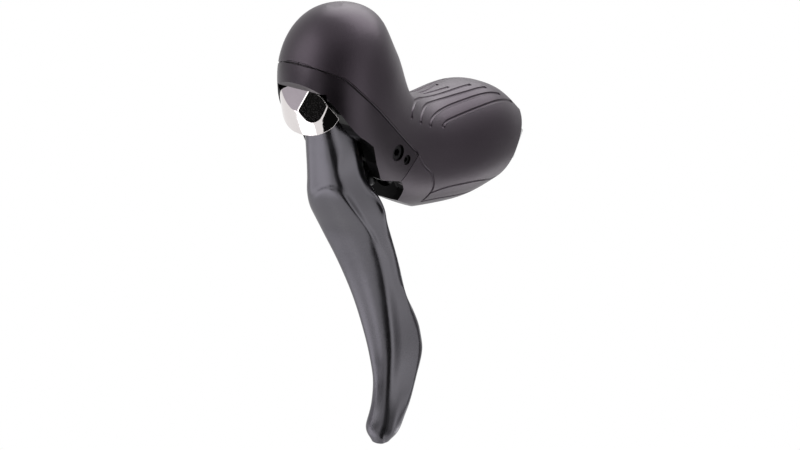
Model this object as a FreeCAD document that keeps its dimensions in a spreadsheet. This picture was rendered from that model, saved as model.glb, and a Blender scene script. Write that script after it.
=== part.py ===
import FreeCAD, Part
import math
import os
from FreeCAD import Placement, Rotation, Vector

# Left-hand hydraulic brake lever for a drop handlebar, in millimetres.
# Origin at the middle of the bar clamp; -X is forward, -Y is the outer side, +Z is up.

doc = FreeCAD.newDocument("brake_lever")
sheet = doc.addObject("Spreadsheet::Sheet", "Sizes")

# Driving sizes: name, value, what it is
SIZES = [
    ("bar_radius", 12.0, "handlebar radius in the clamp"),
    ("bar_tilt", 30.0, "lean of the handlebar from upright, degrees"),
    ("bar_gap", 0.3, "hood clearance round the bar"),
    ("seat_half", 14.0, "half length of the bar seat"),
    ("seat_relief", 0.6, "step outside the bar seat"),
    ("seat_depth", 7.0, "bracket's rear face in front of the bar axis"),
    ("hood_wall", 2.2, "rubber thickness"),
    ("hood_gap", 0.3, "room between hood and bracket"),
    ("seam_gap", 0.3, "open line between hood and exposed panel"),
    ("pivot_x", -69.7, "lever pivot, fore and aft"),
    ("pivot_z", 11.5, "lever pivot, height"),
    ("axle_radius", 2.5, "pivot axle"),
    ("axle_half", 17.0, "half length of the pivot axle"),
    ("axle_fit", 0.03, "axle clearance in the bracket"),
    ("axle_run", 0.04, "axle running clearance in the bushes"),
    ("slot_half", 11.8, "half width of the lever slot"),
    ("slot_back_x", -60.2, "rear wall of the lever slot"),
    ("stop_face_x", -62.9, "shelf that the reach screw rests on"),
    ("barrel_radius", 6.5, "lever head barrel"),
    ("barrel_half", 10.5, "half length of the lever head barrel"),
    ("bush_radius", 3.5, "bush outside"),
    ("bush_length", 5.0, "bush inside the barrel"),
    ("bush_flange", 4.8, "bush flange radius"),
    ("bush_flange_length", 0.8, "bush flange thickness"),
    ("press_gap", 0.02, "gap of pressed pieces"),
    ("lever_middle_y", -2.0, "middle plane of lever and cylinder"),
    ("tongue_half", 3.4, "half width of the head's tongue"),
    ("plate_inner", 8.9, "inner face of the head's side plates"),
    ("rod_arm", 13.0, "pivot down to the push rod line"),
    ("bore_radius", 5.0, "master cylinder bore"),
    ("bore_length", 33.0, "master cylinder depth"),
    ("piston_run", 0.03, "piston running clearance"),
    ("piston_start_x", -56.7, "piston's open end at rest"),
    ("piston_end_land", 2.0, "piston land at the open end"),
    ("seal_groove", 2.2, "piston seal groove length"),
    ("seal_floor", 3.2, "piston radius under a seal"),
    ("piston_middle_land", 6.0, "piston land between the seals"),
    ("piston_nose_land", 2.0, "piston land at the pressure end"),
    ("piston_nose_radius", 2.2, "spring nose radius"),
    ("piston_nose_length", 2.5, "spring nose length"),
    ("seal_wire", 0.8, "seal ring half thickness"),
    ("clip_groove_x", -58.7, "retaining ring groove start"),
    ("clip_thickness", 1.0, "retaining ring thickness"),
    ("clip_outer", 5.7, "retaining ring outer radius"),
    ("clip_inner", 3.6, "retaining ring inner radius"),
    ("rod_radius", 1.6, "push rod shank"),
    ("rod_ball", 3.0, "push rod ball end"),
    ("pusher_face_x", -71.7, "flat tip of the free stroke screw"),
    ("pusher_gap", 0.3, "free play at the push rod"),
    ("stroke_screw_radius", 1.6, "free stroke screw thread"),
    ("stroke_screw_length", 11.0, "free stroke screw thread length"),
    ("stroke_head_radius", 2.5, "free stroke screw head"),
    ("stroke_head_length", 2.0, "free stroke screw head length"),
    ("thread_gap", 0.05, "thread clearance"),
    ("reach_height", 7.5, "reach screw above the pivot"),
    ("reach_gap", 0.35, "reach screw tip to the shelf"),
    ("reach_radius", 1.6, "reach screw thread"),
    ("reach_length", 12.0, "reach screw thread length"),
    ("reach_head_radius", 2.6, "reach screw head"),
    ("reach_head_length", 3.0, "reach screw head length"),
    ("band_wall", 1.2, "clamp band thickness"),
    ("band_width", 11.0, "clamp band width along the bar"),
    ("band_leg", 23.0, "clamp band legs forward of the bar axis"),
    ("nut_distance", 19.0, "clamp nut in front of the bar axis"),
    ("nut_radius", 4.5, "clamp nut barrel"),
    ("nut_pin_radius", 2.4, "clamp nut end pins"),
    ("bolt_radius", 2.5, "clamp bolt thread"),
    ("bolt_length", 15.2, "clamp bolt thread length"),
    ("bolt_head_radius", 4.2, "clamp bolt head"),
    ("bolt_head_length", 5.0, "clamp bolt head length"),
    ("bolt_seat", 28.5, "clamp bolt seat in front of the bar axis"),
    ("port_radius", 4.0, "hose port thread"),
    ("port_depth", 10.0, "hose port depth"),
    ("port_mouth", 12.0, "hose port mouth in front of the bar axis"),
    ("port_side", 7.8, "hose port to the inner side"),
    ("port_height", -10.5, "hose port along the bar"),
    ("port_recess", 4.6, "recess behind the hose port"),
    ("reservoir_x", -82.2, "reservoir axis"),
    ("reservoir_radius", 6.5, "reservoir bore"),
    ("reservoir_floor", 42.0, "reservoir floor height"),
    ("lid_seat", 50.5, "reservoir lid seat height"),
    ("lid_radius", 11.8, "reservoir lid"),
    ("lid_thickness", 3.0, "reservoir lid thickness"),
    ("lid_gap", 0.3, "room round the lid"),
    ("flange_radius", 8.2, "diaphragm flange"),
    ("flange_thickness", 0.8, "diaphragm flange thickness"),
    ("cup_radius", 5.8, "diaphragm cup"),
    ("cup_depth", 4.6, "diaphragm cup depth"),
    ("cup_wall", 0.8, "diaphragm wall"),
    ("lid_screw_offset", 9.9, "lid screws from the middle"),
    ("lid_screw_radius", 1.25, "lid screw thread"),
    ("lid_screw_length", 8.0, "lid screw thread length"),
    ("lid_screw_head", 2.1, "lid screw head"),
    ("lid_screw_head_length", 1.4, "lid screw head length"),
    ("bleed_below", 0.5, "bleed screw head below the lid seat"),
    ("bleed_seat", 12.5, "bleed screw seat from the middle"),
    ("bleed_radius", 2.5, "bleed screw thread"),
    ("bleed_length", 4.5, "bleed screw thread length"),
    ("bleed_head", 4.0, "bleed screw head"),
    ("bleed_head_length", 2.0, "bleed screw head length"),
    ("bleed_seal_wire", 0.45, "bleed seal half thickness"),
    ("anchor_x", -64.6, "anchor screw, fore and aft"),
    ("anchor_z", 7.6, "anchor screw, height"),
    ("anchor_radius", 1.2, "anchor screw thread"),
    ("anchor_head", 1.7, "anchor screw head"),
    ("anchor_out", 16.7, "anchor screw head from the middle plane"),
    ("blade_wall", 2.4, "blade wall round its channel"),
    ("blade_front_wall", 2.8, "blade front wall"),
    ("channel_end_z", -84.5, "lower end of the blade's channel"),
    ("channel_bevel", 1.5, "bevel in the channel's corners"),
    ("pin_radius", 1.5, "blade pins"),
    ("pin_x", -84.7, "blade pins, fore and aft"),
    ("pin_high_z", 14.5, "upper blade pin"),
    ("pin_low_z", 4.5, "lower blade pin"),
    ("pin_high_y", -1.2, "upper blade pin's middle"),
    ("pin_high_half", 7.2, "half length of the upper blade pin"),
    ("pin_low_y", -1.8, "lower blade pin's middle"),
    ("pin_low_half", 8.4, "half length of the lower blade pin"),
    ("cap_inset", 0.5, "cap surface inside the hood's outline"),
    ("cap_wall", 1.8, "cap thickness"),
    ("cap_screw_z", 28.5, "cap screw height"),
    ("cap_screw_radius", 1.5, "cap screw thread"),
    ("cap_boss_radius", 3.4, "cap boss"),
    ("cap_boss_gap", 0.5, "cap boss in front of the blade"),
    ("cap_screw_head", 2.2, "cap screw head"),
    ("cap_screw_length", 8.2, "cap screw thread length"),
    ("spring_wire", 0.5, "spring wire radius"),
    ("piston_spring_radius", 3.2, "piston spring coil radius"),
    ("piston_spring_turns", 6.0, "piston spring turns"),
    ("lever_spring_radius", 4.6, "lever spring coil radius"),
]

# Hood outline, from the bar to the top of the horn:
# crest x, crest z, keel x, keel z, half width, squareness
HOOD = {
    "lip": (7.3, 14.5, -9.7, -17.0, 16.8, 2.3),
    "palm_rear": (-6.2, 22.2, -19.7, -18.5, 18.6, 2.4),
    "palm": (-23.7, 24.0, -33.7, -18.5, 18.5, 2.5),
    "waist": (-37.7, 23.4, -47.7, -17.0, 17.5, 2.5),
    "saddle": (-47.2, 25.8, -63.7, -13.5, 17.2, 2.5),
    "horn_root": (-52.7, 30.0, -81.7, -4.5, 17.8, 2.5),
    "horn_low": (-56.2, 37.0, -95.7, 9.5, 19.0, 2.4),
    "horn_mid": (-59.2, 44.5, -101.7, 25.5, 19.8, 2.3),
    "shoulder": (-63.2, 52.5, -103.2, 41.0, 19.2, 2.2),
    "crown": (-67.4, 60.3, -98.7, 54.5, 15.5, 2.1),
    "dome": (-73.4, 64.1, -92.2, 61.8, 9.0, 2.0),
    "top": (-79.9, 65.1, -86.2, 64.5, 2.6, 2.0),
}
HOOD_FIELDS = ("crest_x", "crest_z", "keel_x", "keel_z", "half_width", "squareness")

# Blade outline, from the head to the tip:
# height, front x, inner y, outer y, depth on the outer side, depth on the inner side,
# set-back of the outer side, squareness
BLADE = {
    "head": (32.5, -95.2, 4.6, -8.2, 9.0, 9.0, 1.0, 3.4),
    "collar": (23.5, -96.2, 5.4, -8.4, 16.8, 16.8, 1.2, 3.4),
    "neck": (15.5, -94.9, 6.6, -8.8, 16.1, 16.1, 1.5, 3.4),
    "throat": (7.5, -94.1, 7.0, -10.2, 15.2, 14.4, 2.3, 3.4),
    "cheek": (2.5, -93.5, 7.5, -10.8, 15.0, 13.4, 2.9, 3.4),
    "knuckle": (-3.0, -92.7, 8.5, -14.4, 14.6, 11.6, 4.3, 3.4),
    "ridge": (-9.0, -90.7, 8.9, -17.3, 12.3, 9.0, 5.8, 3.4),
    "pad_top": (-16.5, -86.9, 8.2, -16.8, 10.5, 8.2, 6.0, 3.4),
    "pad": (-26.5, -83.3, 5.0, -17.6, 9.6, 7.9, 5.9, 3.4),
    "pad_low": (-42.5, -78.7, 0.0, -17.7, 11.0, 7.7, 5.0, 3.4),
    "fin": (-57.5, -76.1, -3.9, -18.7, 16.5, 7.4, 4.2, 3.4),
    "fin_low": (-66.5, -75.5, -6.1, -19.5, 17.5, 8.8, 3.7, 3.4),
    "finger": (-76.5, -75.9, -8.5, -20.7, 13.0, 9.1, 3.1, 3.2),
    "hook": (-86.5, -78.1, -9.3, -21.1, 10.5, 8.9, 2.6, 3.0),
    "bud": (-94.5, -80.5, -8.8, -20.5, 9.0, 8.5, 2.3, 2.5),
    "tip": (-99.3, -79.5, -11.9, -17.9, 5.0, 4.8, 1.0, 2.1),
}
BLADE_FIELDS = ("z", "front_x", "inner_y", "outer_y", "outer_depth", "inner_depth", "sweep", "squareness")

# Edges in side view: x and z of each corner
SEAM = {
    "seam_band": (-102.2, 47.9),
    "seam_side": (-94.7, 43.2),
    "seam_bend": (-90.4, 38.5),
    "seam_end": (-57.9, 8.1),
    "seam_heel": (-62.7, 3.4),
    "seam_toe": (-66.2, -0.3),
    "flap_top": (-64.0, -4.0),
}
BROW = {
    "brow_front": (-103.3, 40.8),
    "brow_corner": (-99.7, 36.3),
    "brow_cheek": (-93.0, 26.0),
    "brow_low": (-86.0, 19.3),
    "brow_step": (-82.9, 16.8),
    "brow_leg": (-80.3, 9.8),
    "brow_foot": (-76.7, 2.9),
    "brow_sole": (-74.9, 1.9),
}
CAP = {
    "cap_side": (-96.1, 29.1),
    "cap_cheek": (-97.3, 25.9),
    "cap_chin": (-100.3, 21.4),
}


def fill_sheet():
    """Write every named size to the sheet, one row each."""
    rows = list(SIZES)
    for fields, table, note in (
        (HOOD_FIELDS, HOOD, "hood outline"),
        (BLADE_FIELDS, BLADE, "blade outline"),
    ):
        for name, values in table.items():
            for field, value in zip(fields, values):
                rows.append(("%s_%s" % (name, field), value, note))
    for table in (SEAM, BROW, CAP):
        for name, (x, z) in table.items():
            rows.append((name + "_x", x, "side view corner"))
            rows.append((name + "_z", z, "side view corner"))
    for number, (alias, value, note) in enumerate(rows, start=1):
        sheet.set("A%d" % number, alias)
        sheet.set("B%d" % number, str(value))
        sheet.set("C%d" % number, note)
        sheet.setAlias("B%d" % number, alias)
    doc.recompute()


fill_sheet()
parts = []


def size(alias):
    """The value of a named size in millimetres, or degrees."""
    return float(sheet.get(alias))


def value_of(text):
    """The number that an expression over the sheet gives."""
    found = sheet.evalExpression(text)
    return float(getattr(found, "Value", found))


def keep(item, label):
    """Name a finished sub-part and list it for writing out."""
    item.Label = label
    parts.append(item)
    return item


# Directions of turned pieces
TILT = size("bar_tilt")
ALONG = {
    "x": Rotation(Vector(0, 1, 0), 90),
    "-x": Rotation(Vector(0, 1, 0), -90),
    "y": Rotation(Vector(1, 0, 0), -90),
    "-y": Rotation(Vector(1, 0, 0), 90),
    "z": Rotation(),
    "bar": Rotation(Vector(0, 1, 0), TILT),
    "forward": Rotation(Vector(0, 1, 0), TILT - 90),
}
BAR = ALONG["bar"].multVec(Vector(0, 0, 1))
FORWARD = ALONG["forward"].multVec(Vector(0, 0, 1))


def place(item, at, along):
    """Turn a piece and bind its start point to expressions."""
    item.Placement = Placement(Vector(), ALONG[along])
    for letter, text in zip("xyz", at):
        item.setExpression(".Placement.Base." + letter, text)
    return item


def rod(name, radius, length, at=("0", "0", "0"), along="z"):
    """A plain round bar bound to the sheet."""
    item = doc.addObject("Part::Cylinder", name)
    item.setExpression("Radius", radius)
    item.setExpression("Height", length)
    return place(item, at, along)


def block(name, extents, at, along="z"):
    """A plain box bound to the sheet."""
    item = doc.addObject("Part::Box", name)
    for prop, text in zip(("Length", "Width", "Height"), extents):
        item.setExpression(prop, text)
    return place(item, at, along)


def hexagon(name, across, depth, at, along):
    """A hexagon socket tool; across is its corner radius."""
    item = doc.addObject("Part::Prism", name)
    item.Polygon = 6
    item.setExpression("Circumradius", across)
    item.setExpression("Height", depth)
    return place(item, at, along)


def join(name, items):
    """One solid from several."""
    item = doc.addObject("Part::MultiFuse", name)
    item.Shapes = items
    item.Refine = True
    return item


def carve(name, base, tools):
    """A base less one or more tools."""
    item = doc.addObject("Part::Cut", name)
    item.Base = base
    item.Tool = tools[0] if len(tools) == 1 else join(name + "_tools", tools)
    item.Refine = True
    return item


def turned(name, steps, at, along, bore=None):
    """A piece turned about its own axis from a sketched, constrained profile.

    steps lists (radius, length) expressions from the start point; bore is an inner radius.
    """
    body = doc.addObject("PartDesign::Body", name)
    sketch = body.newObject("Sketcher::SketchObject", name + "_profile")
    plane = [f for f in body.Origin.OriginFeatures if f.Role == "XZ_Plane"][0]
    sketch.AttachmentSupport = (plane, [""])
    sketch.MapMode = "FlatFace"
    inner = value_of(bore) if bore else 0.0
    corners = [(inner, 0.0)]
    height = 0.0
    walls = []
    for radius, length in steps:
        reach = value_of(radius)
        corners.append((reach, height))
        walls.append((len(corners) - 1, radius, length))
        height += value_of(length)
        corners.append((reach, height))
    corners.append((inner, height))
    count = len(corners)
    for k in range(count):
        a = corners[k]
        b = corners[(k + 1) % count]
        sketch.addGeometry(Part.LineSegment(Vector(a[0], a[1], 0), Vector(b[0], b[1], 0)), False)
    import Sketcher
    for k in range(count):
        sketch.addConstraint(Sketcher.Constraint("Coincident", k, 2, (k + 1) % count, 1))
        upright = k % 2 == 1
        sketch.addConstraint(Sketcher.Constraint("Vertical" if upright else "Horizontal", k))
    if bore:
        sketch.addConstraint(Sketcher.Constraint("PointOnObject", 0, 1, -1))
        index = sketch.addConstraint(Sketcher.Constraint("DistanceX", -1, 1, 0, 1, inner))
        sketch.setExpression("Constraints[%d]" % index, bore)
    else:
        sketch.addConstraint(Sketcher.Constraint("Coincident", 0, 1, -1, 1))
    for k, radius, length in walls:
        index = sketch.addConstraint(Sketcher.Constraint("DistanceX", -1, 1, k, 1, value_of(radius)))
        sketch.setExpression("Constraints[%d]" % index, radius)
        index = sketch.addConstraint(Sketcher.Constraint("DistanceY", k, 1, k, 2, value_of(length)))
        sketch.setExpression("Constraints[%d]" % index, length)
    turn = body.newObject("PartDesign::Revolution", name + "_turn")
    turn.Profile = sketch
    turn.ReferenceAxis = (sketch, ["V_Axis"])
    turn.Angle = 360.0
    return place(body, at, along)


def feature(name, shape):
    """A free-form sub-part whose shape was built from the sheet's sizes."""
    item = doc.addObject("Part::Feature", name)
    item.Shape = shape
    return item


# Free-form tools

def signed_power(value, power):
    """A power that keeps the sign."""
    return math.copysign(abs(value) ** power, value)


def hood_rows(count=28):
    """Points of the hood outline: one closed row per section."""
    rows = []
    for name in HOOD:
        crest = Vector(size(name + "_crest_x"), 0, size(name + "_crest_z"))
        keel = Vector(size(name + "_keel_x"), 0, size(name + "_keel_z"))
        half = size(name + "_half_width")
        power = 2.0 / size(name + "_squareness")
        middle = (crest + keel) * 0.5
        reach = (crest - keel) * 0.5
        row = []
        for k in range(count):
            turn = 2.0 * math.pi * k / count
            up = signed_power(math.cos(turn), power)
            side = signed_power(math.sin(turn), power)
            row.append(middle + reach * up + Vector(0, half * side, 0))
        rows.append(row)
    return rows


def middle_of(row):
    """The mean of a row of points."""
    total = Vector()
    for point in row:
        total = total + point
    return total * (1.0 / len(row))


def inset_rows(rows, depth):
    """The rows moved inward along the surface normal."""
    moved = []
    last = len(rows) - 1
    for i, row in enumerate(rows):
        before = rows[max(i - 1, 0)]
        after = rows[min(i + 1, last)]
        heading = middle_of(after) - middle_of(before)
        count = len(row)
        new_row = []
        for k, point in enumerate(row):
            along = after[k] - before[k]
            around = row[(k + 1) % count] - row[k - 1]
            normal = around.cross(along)
            normal.normalize()
            outward = point - middle_of(row)
            if i == last:
                outward = outward + heading
            if normal.dot(outward) < 0:
                normal = normal * -1.0
            new_row.append(point - normal * depth)
        moved.append(flattened(new_row) if i in (0, last) else new_row)
    return moved


def flattened(row):
    """A row's points dropped onto their own mean plane, so that an end can be closed."""
    quarter = len(row) // 4
    across = row[quarter] - row[3 * quarter]
    normal = across.cross(row[0] - row[2 * quarter])
    normal.normalize()
    centre = middle_of(row)
    return [point - normal * (point - centre).dot(normal) for point in row]


def closed_wire(points):
    """A smooth closed wire through points."""
    curve = Part.BSplineCurve()
    curve.interpolate(points, PeriodicFlag=True)
    return Part.Wire([curve.toShape()])


def loft(rows):
    """A solid through closed rows of points."""
    wires = [closed_wire(row) for row in rows]
    solid = Part.makeLoft(wires, True, False)
    if solid.Volume < 0:
        solid = Part.makeLoft(wires[::-1], True, False)
    return solid


def hood_solid(depth, extend=0.0):
    """The hood outline inset by depth, carried past its rear end by extend."""
    rows = inset_rows(hood_rows(), depth) if depth else hood_rows()
    if extend:
        back = middle_of(rows[0]) - middle_of(rows[1])
        back.normalize()
        rows = [[point + back * extend for point in rows[0]]] + rows
    return loft(rows)


def corner(name):
    """A side view corner as a point on the middle plane."""
    return Vector(size(name + "_x"), 0, size(name + "_z"))


def prism(points, low, high):
    """A side view outline carried from low to high across."""
    shift = Vector(0, low, 0)
    outline = [point + shift for point in points]
    face = Part.Face(Part.makePolygon(outline + [outline[0]]))
    return face.extrude(Vector(0, high - low, 0))


def round_tool(radius, start, end):
    """A round tool between two points."""
    axis = end - start
    return Part.makeCylinder(radius, axis.Length, start, axis)


def trimmed(solid, tools):
    """A solid less its tools, taken one after another."""
    for tool in tools:
        solid = solid.cut(tool)
    return solid


def at_bar(forward, side, up):
    """A point measured from the bar: forward of it, across, and up along it."""
    return FORWARD * forward + Vector(0, side, 0) + BAR * up


def brow_points():
    """The panel's lower edge, front to back, as a smooth run of corners."""
    names = list(BROW)
    curve = Part.BSplineCurve()
    curve.interpolate([corner(n) for n in names[:4]])
    run = curve.discretize(9)
    return run + [corner(n) for n in names[4:]]


FAR = 1.25 * abs(size("shoulder_keel_x"))
WIDE = 3.0 * size("horn_mid_half_width")


# Moulded bracket: core under the hood, with the exposed panel flush with the hood's outside
def panel_zone(shift):
    """Side view outline of everything at or below the seam, moved clear of it by shift."""
    slant = shift * math.sqrt(0.5)
    moves = {
        "seam_end": Vector(-2.0 * slant, 0, 0),
        "seam_heel": Vector(-slant, 0, slant),
        "seam_toe": Vector(-slant, 0, slant),
        "flap_top": Vector(-shift, 0, 0),
    }
    below = Vector(-slant, 0, -slant)
    seam = [corner(n) + moves.get(n, below) for n in SEAM]
    start = Vector(-FAR, 0, seam[0].z)
    flap = seam[-1]
    return [start] + seam + [Vector(flap.x, 0, -FAR), Vector(-FAR, 0, -FAR)]


def open_front():
    """Side view outline of the space in front of and below the panel."""
    edge = brow_points()
    toe = corner("seam_toe")
    flap = corner("flap_top")
    run = [Vector(-FAR, 0, edge[0].z)] + edge + [toe, flap]
    return run + [Vector(flap.x, 0, -FAR), Vector(-FAR, 0, -FAR)]


def slot_outline():
    """Side view outline of the space the lever head turns in."""
    back = size("slot_back_x")
    shelf = size("stop_face_x")
    ahead = size("pivot_x")
    rise = size("pivot_z")
    points = [
        (-FAR, rise + 27.0),
        (ahead - 26.5, rise + 26.5),
        (ahead + 2.0, rise + 14.5),
        (shelf, rise + 11.5),
        (shelf, rise + 5.0),
        (back, rise + 3.0),
        (back, rise - 17.0),
        (back - 5.5, -FAR),
        (-FAR, -FAR),
    ]
    return [Vector(x, 0, z) for x, z in points]


def bracket_shape():
    """The bracket with its lever slot, cylinder, reservoir, bar seat and fastener holes."""
    core = hood_solid(size("hood_wall") + size("hood_gap"))
    skin = hood_solid(0.0).common(prism(panel_zone(size("seam_gap")), -WIDE, WIDE))
    solid = core.fuse(skin)
    px = size("pivot_x")
    pz = size("pivot_z")
    mid = size("lever_middle_y")
    bore_z = pz - size("rod_arm")
    back = size("slot_back_x")
    half = size("slot_half")
    tools = [
        prism(open_front(), -WIDE, WIDE),
        prism(slot_outline(), -half, half),
    ]
    rear = Part.makeBox(80, 120, 160)
    rear.Placement = Placement(Vector(), ALONG["bar"]).multiply(
        Placement(Vector(-size("seat_depth"), -60, -80), Rotation())
    )
    tools.append(rear)
    tools.append(round_tool(size("bar_radius"), BAR * -80, BAR * 80))
    for sign in (-1, 1):
        start = BAR * (sign * size("seat_half"))
        tools.append(round_tool(size("bar_radius") + size("seat_relief"), start, BAR * (sign * 80)))
    # Clamp: slots for the band's legs, the nut and the bolt's tunnel
    wall = size("band_wall")
    for side in (-1, 1):
        leg = Part.makeBox(size("band_leg") + 1.0, wall + 0.6, size("band_width") + 0.8)
        low = side * (size("bar_radius") + wall / 2.0) - (wall + 0.6) / 2.0
        start = Vector(-size("band_leg") - 0.5, low, -size("band_width") / 2.0 - 0.4)
        leg.Placement = Placement(Vector(), ALONG["bar"]).multiply(Placement(start, Rotation()))
        tools.append(leg)
    nut = size("nut_distance")
    reach = size("bar_radius") + wall + 0.5
    tools.append(round_tool(size("nut_radius") + 0.3, at_bar(nut, -reach, 0), at_bar(nut, reach, 0)))
    seat = size("bolt_seat")
    tip = seat - size("bolt_length")
    tools.append(round_tool(size("bolt_radius") + 0.3, at_bar(tip - 1.0, 0, 0), at_bar(seat + 1.0, 0, 0)))
    tools.append(round_tool(size("bolt_head_radius") + 0.3, at_bar(seat, 0, 0), at_bar(seat + 13.0, 0, 0)))
    # Hose port, its recess and the passage to the cylinder
    side = size("port_side")
    high = size("port_height")
    mouth = size("port_mouth")
    bottom = mouth + size("port_depth")
    tools.append(round_tool(size("port_radius"), at_bar(bottom, side, high), at_bar(mouth - 1.0, side, high)))
    tools.append(round_tool(size("port_recess"), at_bar(mouth, side, high), at_bar(-20.0, side, high)))
    end_x = back + size("bore_length")
    tools.append(round_tool(1.0, Vector(end_x - 3.0, mid, bore_z), at_bar(bottom - 1.0, side, high)))
    # Master cylinder and its ring groove
    tools.append(round_tool(size("bore_radius"), Vector(back - 1, mid, bore_z), Vector(end_x, mid, bore_z)))
    groove = size("clip_groove_x")
    thick = size("clip_thickness")
    tools.append(round_tool(
        size("clip_outer") + 0.1, Vector(groove - 0.05, mid, bore_z), Vector(groove + thick + 0.05, mid, bore_z)
    ))
    # Reservoir, lid seat, feed passage and bleed hole
    rx = size("reservoir_x")
    floor = size("reservoir_floor")
    lid = size("lid_seat")
    tools.append(round_tool(size("reservoir_radius"), Vector(rx, 0, floor), Vector(rx, 0, lid + 1)))
    tools.append(round_tool(size("lid_radius") + size("lid_gap"), Vector(rx, 0, lid), Vector(rx, 0, lid + 40)))
    tools.append(round_tool(1.2, Vector(rx + 5.0, 0, floor + 1.5), Vector(back + 18.5, mid, bore_z + 3.0)))
    for sign in (-1, 1):
        x = rx + sign * size("lid_screw_offset")
        top = size("lid_screw_length")
        hole = size("lid_screw_radius") + size("thread_gap")
        tools.append(round_tool(hole, Vector(x, 0, lid - top), Vector(x, 0, lid + 1)))
    bz = lid - size("bleed_head") - size("bleed_below")
    seat_y = size("bleed_seat")
    hole = size("bleed_radius") + size("thread_gap")
    tools.append(round_tool(hole, Vector(rx, 3.0, bz), Vector(rx, seat_y + 1, bz)))
    tools.append(round_tool(size("bleed_head") + 0.4, Vector(rx, seat_y, bz), Vector(rx, WIDE, bz)))
    # Pivot axle and anchor screw
    hole = size("axle_radius") + size("axle_fit")
    tools.append(round_tool(hole, Vector(px, -WIDE, pz), Vector(px, WIDE, pz)))
    for sign in (-1, 1):
        start = Vector(px, sign * (size("axle_half") - 0.5), pz)
        tools.append(round_tool(size("axle_radius") + 0.6, start, Vector(px, sign * WIDE, pz)))
    ax = size("anchor_x")
    az = size("anchor_z")
    out = size("anchor_out")
    hole = size("anchor_radius") + size("thread_gap")
    tools.append(round_tool(hole, Vector(ax, -out, az), Vector(ax, -half + 1.0, az)))
    tools.append(round_tool(size("anchor_head") + 0.15, Vector(ax, -out + 1.25, az), Vector(ax, -WIDE, az)))
    return trimmed(solid, tools)


def hood_shape():
    """The rubber hood: a skin round the bracket, open at the bar and below the seam."""
    skin = hood_solid(0.0).cut(hood_solid(size("hood_wall"), 12.0))
    bar = round_tool(size("bar_radius") + size("bar_gap"), BAR * -80, BAR * 80)
    return trimmed(skin, [prism(panel_zone(0.0), -WIDE, WIDE), bar])


# Lever blade: a forging with a channel up its back
def steady(places, values, at):
    """A smooth value between stations that never runs past them."""
    last = len(places) - 1
    secants = []
    for k in range(last):
        secants.append((values[k + 1] - values[k]) / (places[k + 1] - places[k]))
    slopes = [secants[0]]
    for a, b in zip(secants, secants[1:]):
        slopes.append(2.0 * a * b / (a + b) if a * b > 0 else 0.0)
    slopes.append(secants[-1])
    k = 0
    while k < last - 1 and (places[k + 1] - at) * (places[k + 1] - places[k]) < 0:
        k += 1
    span = places[k + 1] - places[k]
    t = (at - places[k]) / span
    rise = values[k] * (1.0 + 2.0 * t) * (1.0 - t) ** 2 + values[k + 1] * t * t * (3.0 - 2.0 * t)
    return rise + span * (slopes[k] * t * (1.0 - t) ** 2 - slopes[k + 1] * t * t * (1.0 - t))


def blade_rows():
    """Level sections of the blade: each station and one between each pair."""
    names = list(BLADE)
    places = [size(n + "_z") for n in names]
    heights = []
    for above, below in zip(places, places[1:]):
        heights += [above, (above + below) / 2.0]
    heights.append(places[-1])
    columns = {}
    for field in BLADE_FIELDS[1:]:
        columns[field] = [size("%s_%s" % (n, field)) for n in names]
    rows = []
    for z in heights:
        section = {field: steady(places, values, z) for field, values in columns.items()}
        rows.append(blade_row(z, section))
    return rows


def blade_row(z, section, count=20):
    """One level section of the blade at height z."""
    front = section["front_x"]
    inner = section["inner_y"]
    outer = section["outer_y"]
    near = section["inner_depth"]
    far = section["outer_depth"]
    sweep = section["sweep"]
    power = 2.0 / section["squareness"]
    row = []
    for k in range(count):
        turn = 2.0 * math.pi * k / count
        a = signed_power(math.cos(turn), power)
        b = signed_power(math.sin(turn), power)
        share = (1.0 - b) / 2.0
        depth = near + (far - near) * share
        x = front + sweep * share + depth * (1.0 - a) / 2.0
        y = (inner + outer) / 2.0 + (inner - outer) / 2.0 * b
        row.append(Vector(x, y, z))
    return row


def channel_wire(name, floor, lift):
    """One level outline of the blade's channel: open at the back, chamfered at the front."""
    z = size(name + "_z") + lift
    front = size(name + "_front_x") + floor
    inner = size(name + "_inner_y") - size("blade_wall")
    outer = size(name + "_outer_y") + size("blade_wall")
    behind = front + size(name + "_sweep")
    bevel = size("channel_bevel")
    back = front + 40.0
    points = [
        Vector(back, inner, z),
        Vector(front + bevel, inner, z),
        Vector(front, inner - bevel, z),
        Vector(behind, outer + bevel, z),
        Vector(behind + bevel, outer, z),
        Vector(back, outer, z),
    ]
    return Part.makePolygon(points + [points[0]])


def blade_shape():
    """The lever blade with its channel, pin holes and cap screw hole."""
    names = list(BLADE)
    solid = loft(blade_rows())
    floor = size("blade_front_wall")
    wires = [channel_wire(names[0], floor, 6.0)]
    for n in names:
        if size(n + "_z") > size("channel_end_z"):
            wires.append(channel_wire(n, floor, 0.0))
            last = n
    wires.append(channel_wire(last, size(last + "_outer_depth") + 2.0, size("channel_end_z") - size(last + "_z")))
    tools = [Part.makeLoft(wires, True, True)]
    mid = size("lever_middle_y")
    for word in ("high", "low"):
        x = size("pin_x")
        y = size("pin_%s_y" % word)
        z = size("pin_%s_z" % word)
        reach = size("pin_%s_half" % word) + size("press_gap")
        radius = size("pin_radius") + size("press_gap")
        tools.append(round_tool(radius, Vector(x, y - reach, z), Vector(x, y + reach, z)))
    hole = size("cap_screw_radius") + 0.1
    z = size("cap_screw_z")
    tools.append(round_tool(hole, Vector(-FAR, mid, z), Vector(size("head_front_x") + 7.5, mid, z)))
    return trimmed(solid, tools)


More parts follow.
